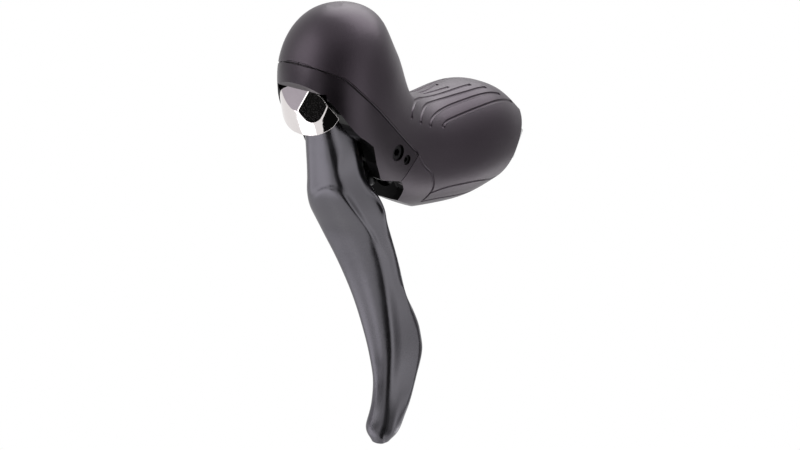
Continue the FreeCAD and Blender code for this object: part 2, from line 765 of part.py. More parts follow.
def cap_shape():
    """The polished nose cap: a shell that carries on the horn's front, with a screw boss."""
    side = corner("cap_side")
    top = [point + Vector(-0.5, 0, -0.7) for point in brow_points() if point.x < side.x - 1.0]
    points = [Vector(-FAR, 0, top[0].z)] + top + [side, corner("cap_cheek"), corner("cap_chin")]
    chin = points[-1]
    points.append(Vector(-FAR, 0, chin.z - 6.0))
    zone = prism(points, -WIDE, WIDE)
    inset = size("cap_inset")
    outer = hood_solid(inset)
    shell = outer.cut(hood_solid(inset + size("cap_wall"))).common(zone)
    mid = size("lever_middle_y")
    z = size("cap_screw_z")
    foot = size("collar_front_x") - size("cap_boss_gap")
    boss = round_tool(size("cap_boss_radius"), Vector(foot, mid, z), Vector(-FAR, mid, z)).common(outer)
    hole = round_tool(size("cap_screw_radius"), Vector(foot + 1, mid, z), Vector(foot - 3.2, mid, z))
    return trimmed(shell.fuse(boss), [hole])


keep(feature("bracket_body", bracket_shape()), "bracket_body")
keep(feature("hood", hood_shape()), "hood")
keep(feature("lever_blade", blade_shape()), "lever_blade")
keep(feature("nose_cap", cap_shape()), "nose_cap")


# Clamp: band, nut and bolt
def tilted(distance):
    """Position expressions of a point in front of the bar axis."""
    return (
        "-(%s) * cos(Sizes.bar_tilt)" % distance,
        "0",
        "(%s) * sin(Sizes.bar_tilt)" % distance,
    )


outer = rod("band_outside", "Sizes.bar_radius + Sizes.band_wall", "Sizes.band_width",
            ("0", "0", "-Sizes.band_width / 2"))
inner = rod("band_inside", "Sizes.bar_radius", "Sizes.band_width + 2", ("0", "0", "-Sizes.band_width / 2 - 1"))
front = block("band_front", ("40", "60", "Sizes.band_width + 2"), ("-40", "-30", "-Sizes.band_width / 2 - 1"))
bow = carve("band_bow", outer, [inner, front])
legs = []
for sign, word in (("", "far"), ("-", "near")):
    low = "Sizes.bar_radius" if not sign else "-Sizes.bar_radius - Sizes.band_wall"
    legs.append(block("band_leg_" + word, ("Sizes.band_leg", "Sizes.band_wall", "Sizes.band_width"),
                      ("-Sizes.band_leg", low, "-Sizes.band_width / 2")))
strap = join("band_strap", [bow] + legs)
pin_hole = rod("band_hole", "Sizes.nut_pin_radius + Sizes.thread_gap", "60", ("-Sizes.nut_distance", "-30", "0"), "y")
band = keep(carve("clamp_band", strap, [pin_hole]), "clamp_band")
band.Placement = Placement(Vector(), ALONG["bar"])

pin = "Sizes.band_wall + 0.1"
nut_at = list(tilted("Sizes.nut_distance"))
nut_at[1] = "-Sizes.bar_radius - Sizes.band_wall"
nut = turned("clamp_nut_blank", [
    ("Sizes.nut_pin_radius", pin),
    ("Sizes.nut_radius", "2 * Sizes.bar_radius - 0.2"),
    ("Sizes.nut_pin_radius", pin),
], nut_at, "y")
cross = rod("clamp_nut_thread", "Sizes.bolt_radius + Sizes.thread_gap", "40", tilted("Sizes.nut_distance - 20"), "forward")
keep(carve("clamp_nut", nut, [cross]), "clamp_nut")

bolt = turned("clamp_bolt_blank", [
    ("Sizes.bolt_radius", "Sizes.bolt_length"),
    ("Sizes.bolt_head_radius", "Sizes.bolt_head_length"),
], tilted("Sizes.bolt_seat + 0.05 - Sizes.bolt_length"), "forward")
key = hexagon("clamp_bolt_socket", "2.3", "6", tilted("Sizes.bolt_seat + Sizes.bolt_head_length - 2.5"), "forward")
keep(carve("clamp_bolt", bolt, [key]), "clamp_bolt")

# Reservoir: diaphragm, lid, lid screws, bleed screw and its seal
axis = ["Sizes.reservoir_x", "0"]
cup = turned("diaphragm_blank", [
    ("Sizes.cup_radius", "Sizes.cup_depth"),
    ("Sizes.flange_radius", "Sizes.flange_thickness"),
], axis + ["Sizes.lid_seat - Sizes.cup_depth + 0.02"], "z")
hollow = rod("diaphragm_hollow", "Sizes.cup_radius - Sizes.cup_wall", "Sizes.cup_depth + 5",
             axis + ["Sizes.lid_seat - Sizes.cup_depth + Sizes.cup_wall"])
keep(carve("reservoir_diaphragm", cup, [hollow]), "reservoir_diaphragm")

plate = rod("lid_plate", "Sizes.lid_radius", "Sizes.lid_thickness", axis + ["Sizes.lid_seat + 0.02"])
room = rod("lid_room", "Sizes.flange_radius + 0.2", "Sizes.flange_thickness + 0.06", axis + ["Sizes.lid_seat"])
holes = []
screws = []
for sign, word in (("-", "front"), ("+", "rear")):
    spot = ["Sizes.reservoir_x %s Sizes.lid_screw_offset" % sign, "0"]
    holes.append(rod("lid_hole_" + word, "Sizes.lid_screw_radius + 0.15", "20", spot + ["Sizes.lid_seat - 5"]))
    screw = turned("lid_screw_blank_" + word, [
        ("Sizes.lid_screw_radius", "Sizes.lid_screw_length"),
        ("Sizes.lid_screw_head", "Sizes.lid_screw_head_length"),
    ], spot + ["Sizes.lid_seat + Sizes.lid_thickness + 0.05 - Sizes.lid_screw_length"], "z")
    star = hexagon("lid_screw_socket_" + word, "1.1", "3",
                   spot + ["Sizes.lid_seat + Sizes.lid_thickness + 0.6"], "z")
    screws.append(carve("lid_screw_" + word, screw, [star]))
keep(carve("reservoir_lid", plate, [room] + holes), "reservoir_lid")
pair = doc.addObject("Part::Compound", "lid_screws")
pair.Links = screws
keep(pair, "lid_screws")

gap = "2 * Sizes.bleed_seal_wire + 0.06"
bleed_z = "Sizes.lid_seat - Sizes.bleed_head - Sizes.bleed_below"
bleed = turned("bleed_screw_blank", [
    ("Sizes.bleed_radius", "Sizes.bleed_length"),
    ("Sizes.bleed_head", "Sizes.bleed_head_length"),
], ("Sizes.reservoir_x", "Sizes.bleed_seat + %s - Sizes.bleed_length" % gap, bleed_z), "y")
key = hexagon("bleed_socket", "1.75", "4",
              ("Sizes.reservoir_x", "Sizes.bleed_seat + %s + 0.7" % gap, bleed_z), "y")
keep(carve("bleed_screw", bleed, [key]), "bleed_screw")
washer = "Sizes.bleed_radius + 0.1"
keep(turned("bleed_seal", [(washer + " + 2 * Sizes.bleed_seal_wire", "2 * Sizes.bleed_seal_wire")],
            ("Sizes.reservoir_x", "Sizes.bleed_seat + 0.03", bleed_z), "y", washer), "bleed_seal")

# Pivot: axle, bushes, anchor screw and return spring
axle = turned("pivot_axle_blank", [("Sizes.axle_radius", "2 * Sizes.axle_half")],
              ("Sizes.pivot_x", "-Sizes.axle_half", "Sizes.pivot_z"), "y")
key = hexagon("pivot_axle_socket", "1.5", "3", ("Sizes.pivot_x", "-Sizes.axle_half - 1", "Sizes.pivot_z"), "y")
keep(carve("pivot_axle", axle, [key]), "pivot_axle")
bush = [
    ("Sizes.bush_flange", "Sizes.bush_flange_length"),
    ("Sizes.bush_radius", "Sizes.bush_length"),
]
running = "Sizes.axle_radius + Sizes.axle_run"
near_y = "-Sizes.barrel_half - Sizes.bush_flange_length - Sizes.press_gap"
far_y = "Sizes.barrel_half - 5 + Sizes.bush_flange_length + Sizes.press_gap"
keep(turned("pivot_bush_near", bush, ("Sizes.pivot_x", near_y, "Sizes.pivot_z"), "y", running), "pivot_bush_near")
keep(turned("pivot_bush_far", bush, ("Sizes.pivot_x", far_y, "Sizes.pivot_z"), "-y", running), "pivot_bush_far")

anchor = turned("anchor_blank", [
    ("Sizes.anchor_head", "1.2"),
    ("Sizes.anchor_radius", "3.2"),
], ("Sizes.anchor_x", "-Sizes.anchor_out", "Sizes.anchor_z"), "y")
key = hexagon("anchor_socket", "1.0", "1.8", ("Sizes.anchor_x", "-Sizes.anchor_out - 1", "Sizes.anchor_z"), "y")
keep(carve("anchor_screw", anchor, [key]), "anchor_screw")


def coil(radius, wire, length, turns, steps=14, sides=8):
    """A wire coil along its own Z axis, starting at its origin, in short straight runs."""
    wires = []
    count = int(round(turns * steps))
    pitch = length / turns / (2.0 * math.pi)
    for k in range(count + 1):
        angle = 2.0 * math.pi * k / steps
        outward = Vector(math.cos(angle), math.sin(angle), 0)
        heading = Vector(-radius * math.sin(angle), radius * math.cos(angle), pitch)
        heading.normalize()
        upward = heading.cross(outward)
        centre = outward * radius + Vector(0, 0, pitch * angle)
        corners = []
        for n in range(sides):
            turn = 2.0 * math.pi * n / sides
            corners.append(centre + outward * (wire * math.cos(turn)) + upward * (wire * math.sin(turn)))
        wires.append(Part.makePolygon(corners + [corners[0]]))
    return Part.makeLoft(wires, True, True)


wire = size("spring_wire")
spring = keep(feature("lever_spring", coil(size("lever_spring_radius"), wire, 3.6, 3.0)), "lever_spring")
place(spring, ("Sizes.pivot_x", "7.4", "Sizes.pivot_z"), "y")

# Lever head: barrel on the axle, tongue inside the blade, plate beside the cheek
def head_outline():
    """Side view outline of the tongue."""
    px = size("pivot_x")
    pz = size("pivot_z")
    points = [
        (4.0, 1.0), (4.0, 11.0), (-6.0, 13.0), (-18.4, 13.0), (-18.6, 6.0), (-18.0, -8.0),
        (-14.6, -18.5), (-9.5, -21.0), (-3.5, -18.0), (-3.5, -10.5), (2.0, -6.0),
    ]
    return [Vector(px + x, 0, pz + z) for x, z in points]


def plate_outline():
    """Side view outline of the plate."""
    px = size("pivot_x")
    pz = size("pivot_z")
    points = [
        (-5.2, 6.0), (-2.5, 8.6), (4.4, 5.2), (6.4, -1.5), (3.2, -9.6), (-3.4, -11.0), (-4.8, -5.0),
    ]
    return [Vector(px + x, 0, pz + z) for x, z in points]


mid = size("lever_middle_y")
half = size("tongue_half")
tongue = feature("head_tongue", prism(head_outline(), mid - half, mid + half))
cheek = feature("head_plate", prism(plate_outline(), -size("barrel_half"), -size("plate_inner")))
barrel = rod("head_barrel", "Sizes.barrel_radius", "2 * Sizes.barrel_half - 5",
             ("Sizes.pivot_x", "-Sizes.barrel_half", "Sizes.pivot_z"), "y")
head = join("head_blank", [tongue, cheek, barrel])
rod_z = "Sizes.pivot_z - Sizes.rod_arm"
reach_z = "Sizes.pivot_z + Sizes.reach_height"
mid_y = "Sizes.lever_middle_y"
stroke_seat = "Sizes.pusher_face_x - Sizes.stroke_screw_length"
reach_tip = "Sizes.stop_face_x - Sizes.reach_gap"
reach_seat = reach_tip + " - Sizes.reach_length"
cuts = [
    rod("head_bore", "Sizes.bush_radius + Sizes.press_gap", "80", ("Sizes.pivot_x", "-40", "Sizes.pivot_z"), "y"),
    rod("head_reach", "Sizes.reach_radius + Sizes.thread_gap", "40", (reach_seat + " - 1", mid_y, reach_z), "x"),
    rod("head_stroke", "Sizes.stroke_screw_radius + Sizes.thread_gap", "40", (stroke_seat + " - 1", mid_y, rod_z), "x"),
    block("head_reach_notch", ("30", "20", "2 * Sizes.reach_head_radius + 0.6"),
          (reach_seat + " - 30", mid_y + " - 10", reach_z + " - Sizes.reach_head_radius - 0.3")),
    block("head_stroke_notch", ("30", "20", "2 * Sizes.stroke_head_radius + 0.6"),
          (stroke_seat + " - 30", mid_y + " - 10", rod_z + " - Sizes.stroke_head_radius - 0.3")),
]
for z, word in (("Sizes.pin_high_z", "high"), ("Sizes.pin_low_z", "low")):
    cuts.append(rod("head_pin_" + word, "Sizes.pin_radius + Sizes.press_gap", "40", ("Sizes.pin_x", "-20", z), "y"))
keep(carve("lever_head", head, cuts), "lever_head")

pins = []
for z, word in (("Sizes.pin_high_z", "high"), ("Sizes.pin_low_z", "low")):
    half = "Sizes.pin_%s_half" % word
    pins.append(rod("blade_pin_" + word, "Sizes.pin_radius", "2 * " + half,
                    ("Sizes.pin_x", "Sizes.pin_%s_y - %s" % (word, half), z), "y"))
pair = doc.addObject("Part::Compound", "blade_pins")
pair.Links = pins
keep(pair, "blade_pins")

# Screws carried by the lever: cap, reach and free stroke
wall_x = "Sizes.head_front_x + Sizes.head_sweep + Sizes.blade_front_wall"
screw = turned("cap_screw_blank", [
    ("Sizes.cap_screw_head", "1.6"),
    ("Sizes.cap_screw_radius - Sizes.thread_gap", "Sizes.cap_screw_length"),
], (wall_x + " + 1.65", mid_y, "Sizes.cap_screw_z"), "-x")
key = hexagon("cap_screw_socket", "1.2", "2", (wall_x + " + 0.85", mid_y, "Sizes.cap_screw_z"), "x")
keep(carve("cap_screw", screw, [key]), "cap_screw")

screw = turned("reach_screw_blank", [
    ("Sizes.reach_head_radius", "Sizes.reach_head_length"),
    ("Sizes.reach_radius", "Sizes.reach_length"),
], (reach_seat + " - Sizes.reach_head_length - 0.3", mid_y, reach_z), "x")
key = hexagon("reach_socket", "1.2", "3", (reach_seat + " - Sizes.reach_head_length - 1.5", mid_y, reach_z), "x")
keep(carve("reach_screw", screw, [key]), "reach_screw")

screw = turned("stroke_screw_blank", [
    ("Sizes.stroke_head_radius", "Sizes.stroke_head_length"),
    ("Sizes.stroke_screw_radius", "Sizes.stroke_screw_length + 0.3"),
], (stroke_seat + " - Sizes.stroke_head_length - 0.3", mid_y, rod_z), "x")
slot = block("stroke_slot", ("1.2", "8", "0.8"),
             (stroke_seat + " - Sizes.stroke_head_length - 0.6", mid_y + " - 4", rod_z + " - 0.4"))
keep(carve("free_stroke_screw", screw, [slot]), "free_stroke_screw")

# Master cylinder: retaining ring, push rod, piston, seals and spring
clip = turned("clip_blank", [("Sizes.clip_outer", "Sizes.clip_thickness")],
              ("Sizes.clip_groove_x", mid_y, rod_z), "x", "Sizes.clip_inner")
mouth = block("clip_mouth", ("4", "4", "8"), ("Sizes.clip_groove_x - 1", mid_y + " - 2", rod_z + " - 8"))
keep(carve("piston_clip", clip, [mouth]), "piston_clip")

ball_x = "Sizes.pusher_face_x + Sizes.pusher_gap + Sizes.rod_ball"
ball = doc.addObject("Part::Sphere", "rod_ball_end")
ball.setExpression("Radius", "Sizes.rod_ball")
place(ball, (ball_x, mid_y, rod_z), "z")
shank = rod("rod_shank", "Sizes.rod_radius", "Sizes.piston_start_x + 3.7 - (%s)" % ball_x, (ball_x, mid_y, rod_z), "x")
keep(join("push_rod", [ball, shank]), "push_rod")

land = "Sizes.bore_radius - Sizes.piston_run"
piston = turned("piston_blank", [
    (land, "Sizes.piston_end_land"),
    ("Sizes.seal_floor", "Sizes.seal_groove"),
    (land, "Sizes.piston_middle_land"),
    ("Sizes.seal_floor", "Sizes.seal_groove"),
    (land, "Sizes.piston_nose_land"),
    ("Sizes.piston_nose_radius", "Sizes.piston_nose_length"),
], ("Sizes.piston_start_x", mid_y, rod_z), "x")
seat = rod("piston_seat", "Sizes.rod_radius + 0.3", "5", ("Sizes.piston_start_x - 1", mid_y, rod_z), "x")
keep(carve("piston", piston, [seat]), "piston")
first = "Sizes.piston_start_x + Sizes.piston_end_land + Sizes.seal_groove / 2"
second = first + " + Sizes.seal_groove + Sizes.piston_middle_land"
lip = [
    (land + " - 0.3", "Sizes.seal_wire"),
    (land, "Sizes.seal_wire"),
]
bore = land + " - 2 * Sizes.seal_wire"
for word, middle in (("secondary_seal", first), ("primary_seal", second)):
    keep(turned(word, lip, (middle + " - Sizes.seal_wire", mid_y, rod_z), "x", bore), word)

shoulder = ("Sizes.piston_start_x + Sizes.piston_end_land + 2 * Sizes.seal_groove"
            " + Sizes.piston_middle_land + Sizes.piston_nose_land")
free = value_of("Sizes.slot_back_x + Sizes.bore_length - (%s)" % shoulder)
reach = free - 2.0 * wire - 0.2
turns = size("piston_spring_turns")
spring = keep(feature("piston_spring", coil(size("piston_spring_radius"), wire, reach, turns)), "piston_spring")
place(spring, (shoulder + " + Sizes.spring_wire + 0.1", mid_y, rod_z), "x")

doc.recompute()

# Check everything, then write one file per sub-part
for item in doc.Objects:
    if "Invalid" in item.State or "Error" in item.State:
        raise RuntimeError("feature failed: " + item.Label)
os.makedirs("parts", exist_ok=True)
for item in parts:
    shape = item.Shape
    if shape.isNull() or not shape.isValid() or not shape.Solids:
        raise RuntimeError("bad solid: " + item.Label)
    shape.exportStep("parts/%s.step" % item.Label)
    print("%s solids %d volume %.1f" % (item.Label, len(shape.Solids), shape.Volume))
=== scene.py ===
"""Studio scene of a left-hand hydraulic brake lever for a drop handlebar."""
import logging
import math
from dataclasses import dataclass, field
from enum import Enum
from typing import Callable, Dict, List, Sequence, Tuple, TypeVar

import bmesh
import bpy
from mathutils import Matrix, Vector
from mathutils.bvhtree import BVHTree


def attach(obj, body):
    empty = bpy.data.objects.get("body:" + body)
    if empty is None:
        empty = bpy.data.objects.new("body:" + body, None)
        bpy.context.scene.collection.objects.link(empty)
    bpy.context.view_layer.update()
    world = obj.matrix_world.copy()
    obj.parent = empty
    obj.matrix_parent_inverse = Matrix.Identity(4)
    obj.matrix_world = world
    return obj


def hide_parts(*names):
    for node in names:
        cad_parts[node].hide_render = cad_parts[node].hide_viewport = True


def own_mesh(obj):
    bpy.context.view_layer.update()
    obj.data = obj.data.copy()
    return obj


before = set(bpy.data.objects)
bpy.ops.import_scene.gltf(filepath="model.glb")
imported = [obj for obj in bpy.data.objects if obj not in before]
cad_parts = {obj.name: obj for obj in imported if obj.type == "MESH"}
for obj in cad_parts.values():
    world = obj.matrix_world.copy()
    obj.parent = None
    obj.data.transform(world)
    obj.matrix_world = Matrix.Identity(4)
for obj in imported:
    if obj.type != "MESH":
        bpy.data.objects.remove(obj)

logging.basicConfig(level=logging.INFO, format="%(message)s")
LOG = logging.getLogger("brake_lever")
MM = 0.001
SIDES = (1.0, -1.0)
KEPT_NORMAL = "kept_normal"
KEPT_LENGTH = 0.5
KEPT_FACING = 0.3
MERGE_PIECE = 0.002 * MM
MERGE_TOOL = 0.001 * MM
PATCH_SHARE = 0.7
GRAIN_SHARE = 0.3
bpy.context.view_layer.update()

Colour = Tuple[float, float, float]
Point = Tuple[float, float, float]
Number = TypeVar("Number", float, Vector)


class Body(Enum):
    """The rigid bodies that pieces ride on."""

    BRACKET = "bracket"
    LEVER = "lever"


class Graph:
    """Adds and links nodes in one material's or group's tree."""

    def __init__(self, tree: bpy.types.NodeTree) -> None:
        """Keep the tree to work on."""
        self.tree = tree

    def add(self, kind: str, **values: object) -> bpy.types.Node:
        """Add a node and set its properties.

        Args:
            kind: the node's type name.
            values: properties of the node by name.

        Returns:
            The new node.
        """
        node = self.tree.nodes.new(kind)
        for name, value in values.items():
            setattr(node, name, value)
        return node

    def link(self, source: bpy.types.NodeSocket, target: bpy.types.NodeSocket) -> None:
        """Join an output to an input."""
        self.tree.links.new(source, target)

    def math(self, operation: str, first: object, second: object) -> bpy.types.NodeSocket:
        """Combine two values, each a number or a socket.

        Args:
            operation: name of the sum, such as ADD.
            first: first operand.
            second: second operand.

        Returns:
            The result's socket.
        """
        node = self.add("ShaderNodeMath", operation=operation)
        for index, operand in enumerate((first, second)):
            if isinstance(operand, (int, float)):
                node.inputs[index].default_value = operand
            else:
                self.link(operand, node.inputs[index])
        return node.outputs[0]


def fine_grain_group() -> bpy.types.NodeTree:
    """Build the shared grain effect once.

    Returns:
        A group with a tone mask, a roughness value and a bump height.
    """
    found = bpy.data.node_groups.get("fine_grain")
    if found:
        return found
    tree = bpy.data.node_groups.new("fine_grain", "ShaderNodeTree")
    face = tree.interface
    face.new_socket("Grain Scale", in_out="INPUT", socket_type="NodeSocketFloat").default_value = 2500.0
    face.new_socket("Patch Scale", in_out="INPUT", socket_type="NodeSocketFloat").default_value = 60.0
    face.new_socket("Dark", in_out="INPUT", socket_type="NodeSocketColor")
    face.new_socket("Light", in_out="INPUT", socket_type="NodeSocketColor")
    face.new_socket("Rough Low", in_out="INPUT", socket_type="NodeSocketFloat").default_value = 0.4
    face.new_socket("Rough High", in_out="INPUT", socket_type="NodeSocketFloat").default_value = 0.5
    face.new_socket("Colour", in_out="OUTPUT", socket_type="NodeSocketColor")
    face.new_socket("Roughness", in_out="OUTPUT", socket_type="NodeSocketFloat")
    face.new_socket("Height", in_out="OUTPUT", socket_type="NodeSocketFloat")
    graph = Graph(tree)
    given = graph.add("NodeGroupInput")
    result = graph.add("NodeGroupOutput")
    where = graph.add("ShaderNodeTexCoord")
    grain = graph.add("ShaderNodeTexNoise")
    grain.inputs["Detail"].default_value = 3.0
    patch = graph.add("ShaderNodeTexNoise")
    patch.inputs["Detail"].default_value = 4.0
    for noise, name in ((grain, "Grain Scale"), (patch, "Patch Scale")):
        graph.link(where.outputs["Object"], noise.inputs["Vector"])
        graph.link(given.outputs[name], noise.inputs["Scale"])
    broad = graph.math("MULTIPLY", patch.outputs["Fac"], PATCH_SHARE)
    fine = graph.math("MULTIPLY", grain.outputs["Fac"], GRAIN_SHARE)
    mixed = graph.math("ADD", broad, fine)
    tone = graph.add("ShaderNodeMix", data_type="RGBA")
    graph.link(mixed, tone.inputs["Factor"])
    graph.link(given.outputs["Dark"], tone.inputs["A"])
    graph.link(given.outputs["Light"], tone.inputs["B"])
    rough = graph.add("ShaderNodeMapRange")
    graph.link(mixed, rough.inputs["Value"])
    rough.inputs["From Min"].default_value = 0.3
    rough.inputs["From Max"].default_value = 0.7
    graph.link(given.outputs["Rough Low"], rough.inputs["To Min"])
    graph.link(given.outputs["Rough High"], rough.inputs["To Max"])
    graph.link(tone.outputs["Result"], result.inputs["Colour"])
    graph.link(rough.outputs["Result"], result.inputs["Roughness"])
    graph.link(grain.outputs["Fac"], result.inputs["Height"])
    return tree


@dataclass(frozen=True)
class GrainFinish:
    """A finish whose tone, gloss and fine relief come from the shared grain."""

    name: str
    dark: Colour
    light: Colour
    rough: Tuple[float, float]
    metallic: float = 0.0
    specular: float = 0.5
    coat: float = 0.0
    coat_rough: float = 0.1
    sheen: float = 0.0
    tint: Colour = (1.0, 1.0, 1.0)
    grain_scale: float = 2500.0
    patch_scale: float = 60.0
    relief: float = 0.00002

    def material(self) -> bpy.types.Material:
        """Build the material once, then share it.

        Returns:
            The finished material.
        """
        title = "finish_" + self.name
        found = bpy.data.materials.get(title)
        if found:
            return found
        made = bpy.data.materials.new(title)
        made.use_nodes = True
        graph = Graph(made.node_tree)
        shader = made.node_tree.nodes["Principled BSDF"]
        grain = graph.add("ShaderNodeGroup", node_tree=fine_grain_group())
        grain.inputs["Grain Scale"].default_value = self.grain_scale
        grain.inputs["Patch Scale"].default_value = self.patch_scale
        grain.inputs["Dark"].default_value = (*self.dark, 1.0)
        grain.inputs["Light"].default_value = (*self.light, 1.0)
        grain.inputs["Rough Low"].default_value = self.rough[0]
        grain.inputs["Rough High"].default_value = self.rough[1]
        bump = graph.add("ShaderNodeBump")
        bump.inputs["Strength"].default_value = 1.0
        bump.inputs["Distance"].default_value = self.relief
        graph.link(grain.outputs["Height"], bump.inputs["Height"])
        graph.link(grain.outputs["Colour"], shader.inputs["Base Color"])
        graph.link(grain.outputs["Roughness"], shader.inputs["Roughness"])
        graph.link(bump.outputs["Normal"], shader.inputs["Normal"])
        shader.inputs["Metallic"].default_value = self.metallic
        shader.inputs["Specular IOR Level"].default_value = self.specular
        shader.inputs["Specular Tint"].default_value = (*self.tint, 1.0)
        shader.inputs["Coat Weight"].default_value = self.coat
        shader.inputs["Coat Roughness"].default_value = self.coat_rough
        shader.inputs["Sheen Weight"].default_value = self.sheen
        return made


# Finishes
HOOD_RUBBER = GrainFinish(
    "hood_rubber", (0.018, 0.0138, 0.018), (0.028, 0.0215, 0.028), (0.37, 0.46),
    specular=0.6, sheen=0.06, tint=(1.0, 0.83, 1.0), grain_scale=2600.0, patch_scale=45.0, relief=0.00003,
)
BRACKET_RESIN = GrainFinish(
    "bracket_resin", (0.007, 0.0054, 0.007), (0.011, 0.0086, 0.011), (0.33, 0.40),
    specular=0.55, tint=(1.0, 0.84, 1.0), grain_scale=3200.0, patch_scale=70.0, relief=0.000012,
)
BLADE_ALLOY = GrainFinish(
    "blade_alloy", (0.105, 0.101, 0.113), (0.130, 0.125, 0.139), (0.25, 0.31),
    metallic=0.9, grain_scale=6000.0, patch_scale=40.0, relief=0.000006,
)
GLOSS_BLACK = GrainFinish(
    "gloss_black", (0.006, 0.006, 0.006), (0.010, 0.010, 0.010), (0.14, 0.20),
    coat=0.4, grain_scale=1500.0, patch_scale=90.0, relief=0.000004,
)
# Near-black with weak reflections for the slot's lips: partly a glossy black surface, partly painted shade
# in the gap between blade and panel.
SLOT_BLACK_AND_SHADE = GrainFinish(
    "slot_black_and_shade", (0.002, 0.002, 0.002), (0.004, 0.004, 0.004), (0.16, 0.24),
    specular=0.10, grain_scale=1800.0, patch_scale=110.0, relief=0.000006,
)
# Dull near-black with almost no reflection: painted shade for the dark opening under the pivot and its
# shelf.
OPENING_PAINTED_SHADE = GrainFinish(
    "opening_painted_shade", (0.0015, 0.0015, 0.0015), (0.003, 0.003, 0.003), (0.45, 0.60),
    specular=0.06, grain_scale=1800.0, patch_scale=110.0, relief=0.000006,
)
POLISHED_CHROME = GrainFinish(
    "polished_chrome", (0.66, 0.62, 0.62), (0.80, 0.76, 0.75), (0.04, 0.07),
    metallic=1.0, grain_scale=900.0, patch_scale=120.0, relief=0.000001,
)
BRIGHT_STEEL = GrainFinish(
    "bright_steel", (0.44, 0.44, 0.45), (0.56, 0.56, 0.57), (0.22, 0.34),
    metallic=1.0, grain_scale=4000.0, patch_scale=150.0, relief=0.000006,
)
BLACK_STEEL = GrainFinish(
    "black_steel", (0.018, 0.018, 0.019), (0.034, 0.034, 0.036), (0.30, 0.42),
    metallic=0.7, grain_scale=5000.0, patch_scale=200.0, relief=0.000006,
)
CLEAR_ALLOY = GrainFinish(
    "clear_alloy", (0.52, 0.52, 0.53), (0.62, 0.62, 0.63), (0.28, 0.38),
    metallic=1.0, grain_scale=4500.0, patch_scale=160.0, relief=0.000006,
)
SOFT_SEAL = GrainFinish(
    "soft_seal", (0.014, 0.014, 0.014), (0.024, 0.024, 0.024), (0.45, 0.58),
    grain_scale=3500.0, patch_scale=200.0, relief=0.00001,
)
BUSH_BRONZE = GrainFinish(
    "bush_bronze", (0.38, 0.26, 0.12), (0.52, 0.38, 0.20), (0.32, 0.46),
    metallic=1.0, grain_scale=5000.0, patch_scale=250.0, relief=0.00001,
)


def dress(obj: bpy.types.Object, finish: GrainFinish) -> None:
    """Give every slot of an object one finish.

    Args:
        obj: the object to dress.
        finish: its finish.
    """
    made = finish.material()
    if not obj.data.materials:
        obj.data.materials.append(made)
    for index in range(len(obj.data.materials)):
        obj.data.materials[index] = made


def deselect() -> None:
    """Leave object mode with nothing selected."""
    if bpy.context.object and bpy.context.object.mode != "OBJECT":
        bpy.ops.object.mode_set(mode="OBJECT")
    bpy.ops.object.select_all(action="DESELECT")


@dataclass
class CarriedNodes:
    """CAD pieces that keep their own shape and get a finish."""

    finishes: Dict[str, GrainFinish] = field(default_factory=lambda: {
        "lever_head": GLOSS_BLACK,
        "clamp_band": BRIGHT_STEEL,
        "clamp_nut": BRIGHT_STEEL,
        "clamp_bolt": BLACK_STEEL,
        "reservoir_diaphragm": SOFT_SEAL,
        "reservoir_lid": BRACKET_RESIN,
        "lid_screws": BLACK_STEEL,
        "bleed_screw": CLEAR_ALLOY,
        "bleed_seal": SOFT_SEAL,
        "pivot_axle": BLACK_STEEL,
        "anchor_screw": BLACK_STEEL,
        "lever_spring": BLACK_STEEL,
        "piston_clip": BLACK_STEEL,
        "cap_screw": BLACK_STEEL,
        "pivot_bush_near": BUSH_BRONZE,
        "pivot_bush_far": BUSH_BRONZE,
        "piston": CLEAR_ALLOY,
        "primary_seal": SOFT_SEAL,
        "secondary_seal": SOFT_SEAL,
        "push_rod": BLACK_STEEL,
        "reach_screw": BLACK_STEEL,
        "free_stroke_screw": BLACK_STEEL,
    })

    def build(self) -> None:
        """Dress each node."""
        for name, finish in self.finishes.items():
            dress(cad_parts[name], finish)
            LOG.info("dressed %s with %s", name, finish.name)


def copy_of(node: str, name: str) -> bpy.types.Object:
    """A free copy of a CAD piece, merged into one skin.

    Args:
        node: the CAD node's name.
        name: the new piece's name.

    Returns:
        The copy, active and selected, at the origin.
    """
    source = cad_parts[node]
    mesh = source.data.copy()
    mesh.transform(source.matrix_world)
    note_normals(mesh, 1.0)
    piece = bpy.data.objects.new(name, mesh)
    bpy.context.collection.objects.link(piece)
    activate(piece)
    bpy.ops.object.mode_set(mode="EDIT")
    bpy.ops.mesh.select_all(action="SELECT")
    bpy.ops.mesh.remove_doubles(threshold=MERGE_PIECE)
    bpy.ops.object.mode_set(mode="OBJECT")
    return piece


def activate(piece: bpy.types.Object) -> None:
    """Select one object alone and make it active.

    Args:
        piece: the object.
    """
    deselect()
    piece.select_set(True)
    bpy.context.view_layer.objects.active = piece


def cut(piece: bpy.types.Object, tool: bpy.types.Object) -> None:
    """Take a tool's shape out of a piece and throw the tool away.

    Args:
        piece: the piece to cut.
        tool: the closed shape to take out.
    """
    note_normals(tool.data, -1.0)
    activate(piece)
    step = piece.modifiers.new("cut", "BOOLEAN")
    step.operation = "DIFFERENCE"
    step.solver = "MANIFOLD"
    step.object = tool
    bpy.ops.object.modifier_apply(modifier=step.name)
    mesh = tool.data
    bpy.data.objects.remove(tool)
    bpy.data.meshes.remove(mesh)


def note_normals(mesh: bpy.types.Mesh, turn: float) -> None:
    """Write down a mesh's shading normals, so that they outlast the cuts.

    Args:
        mesh: the mesh.
        turn: 1 for a piece, -1 for a tool whose faces end up inside out.
    """
    flat = [0.0] * (3 * len(mesh.loops))
    mesh.corner_normals.foreach_get("vector", flat)
    kept = mesh.attributes.new(KEPT_NORMAL, "FLOAT_VECTOR", "CORNER")
    kept.data.foreach_set("vector", [turn * value for value in flat])


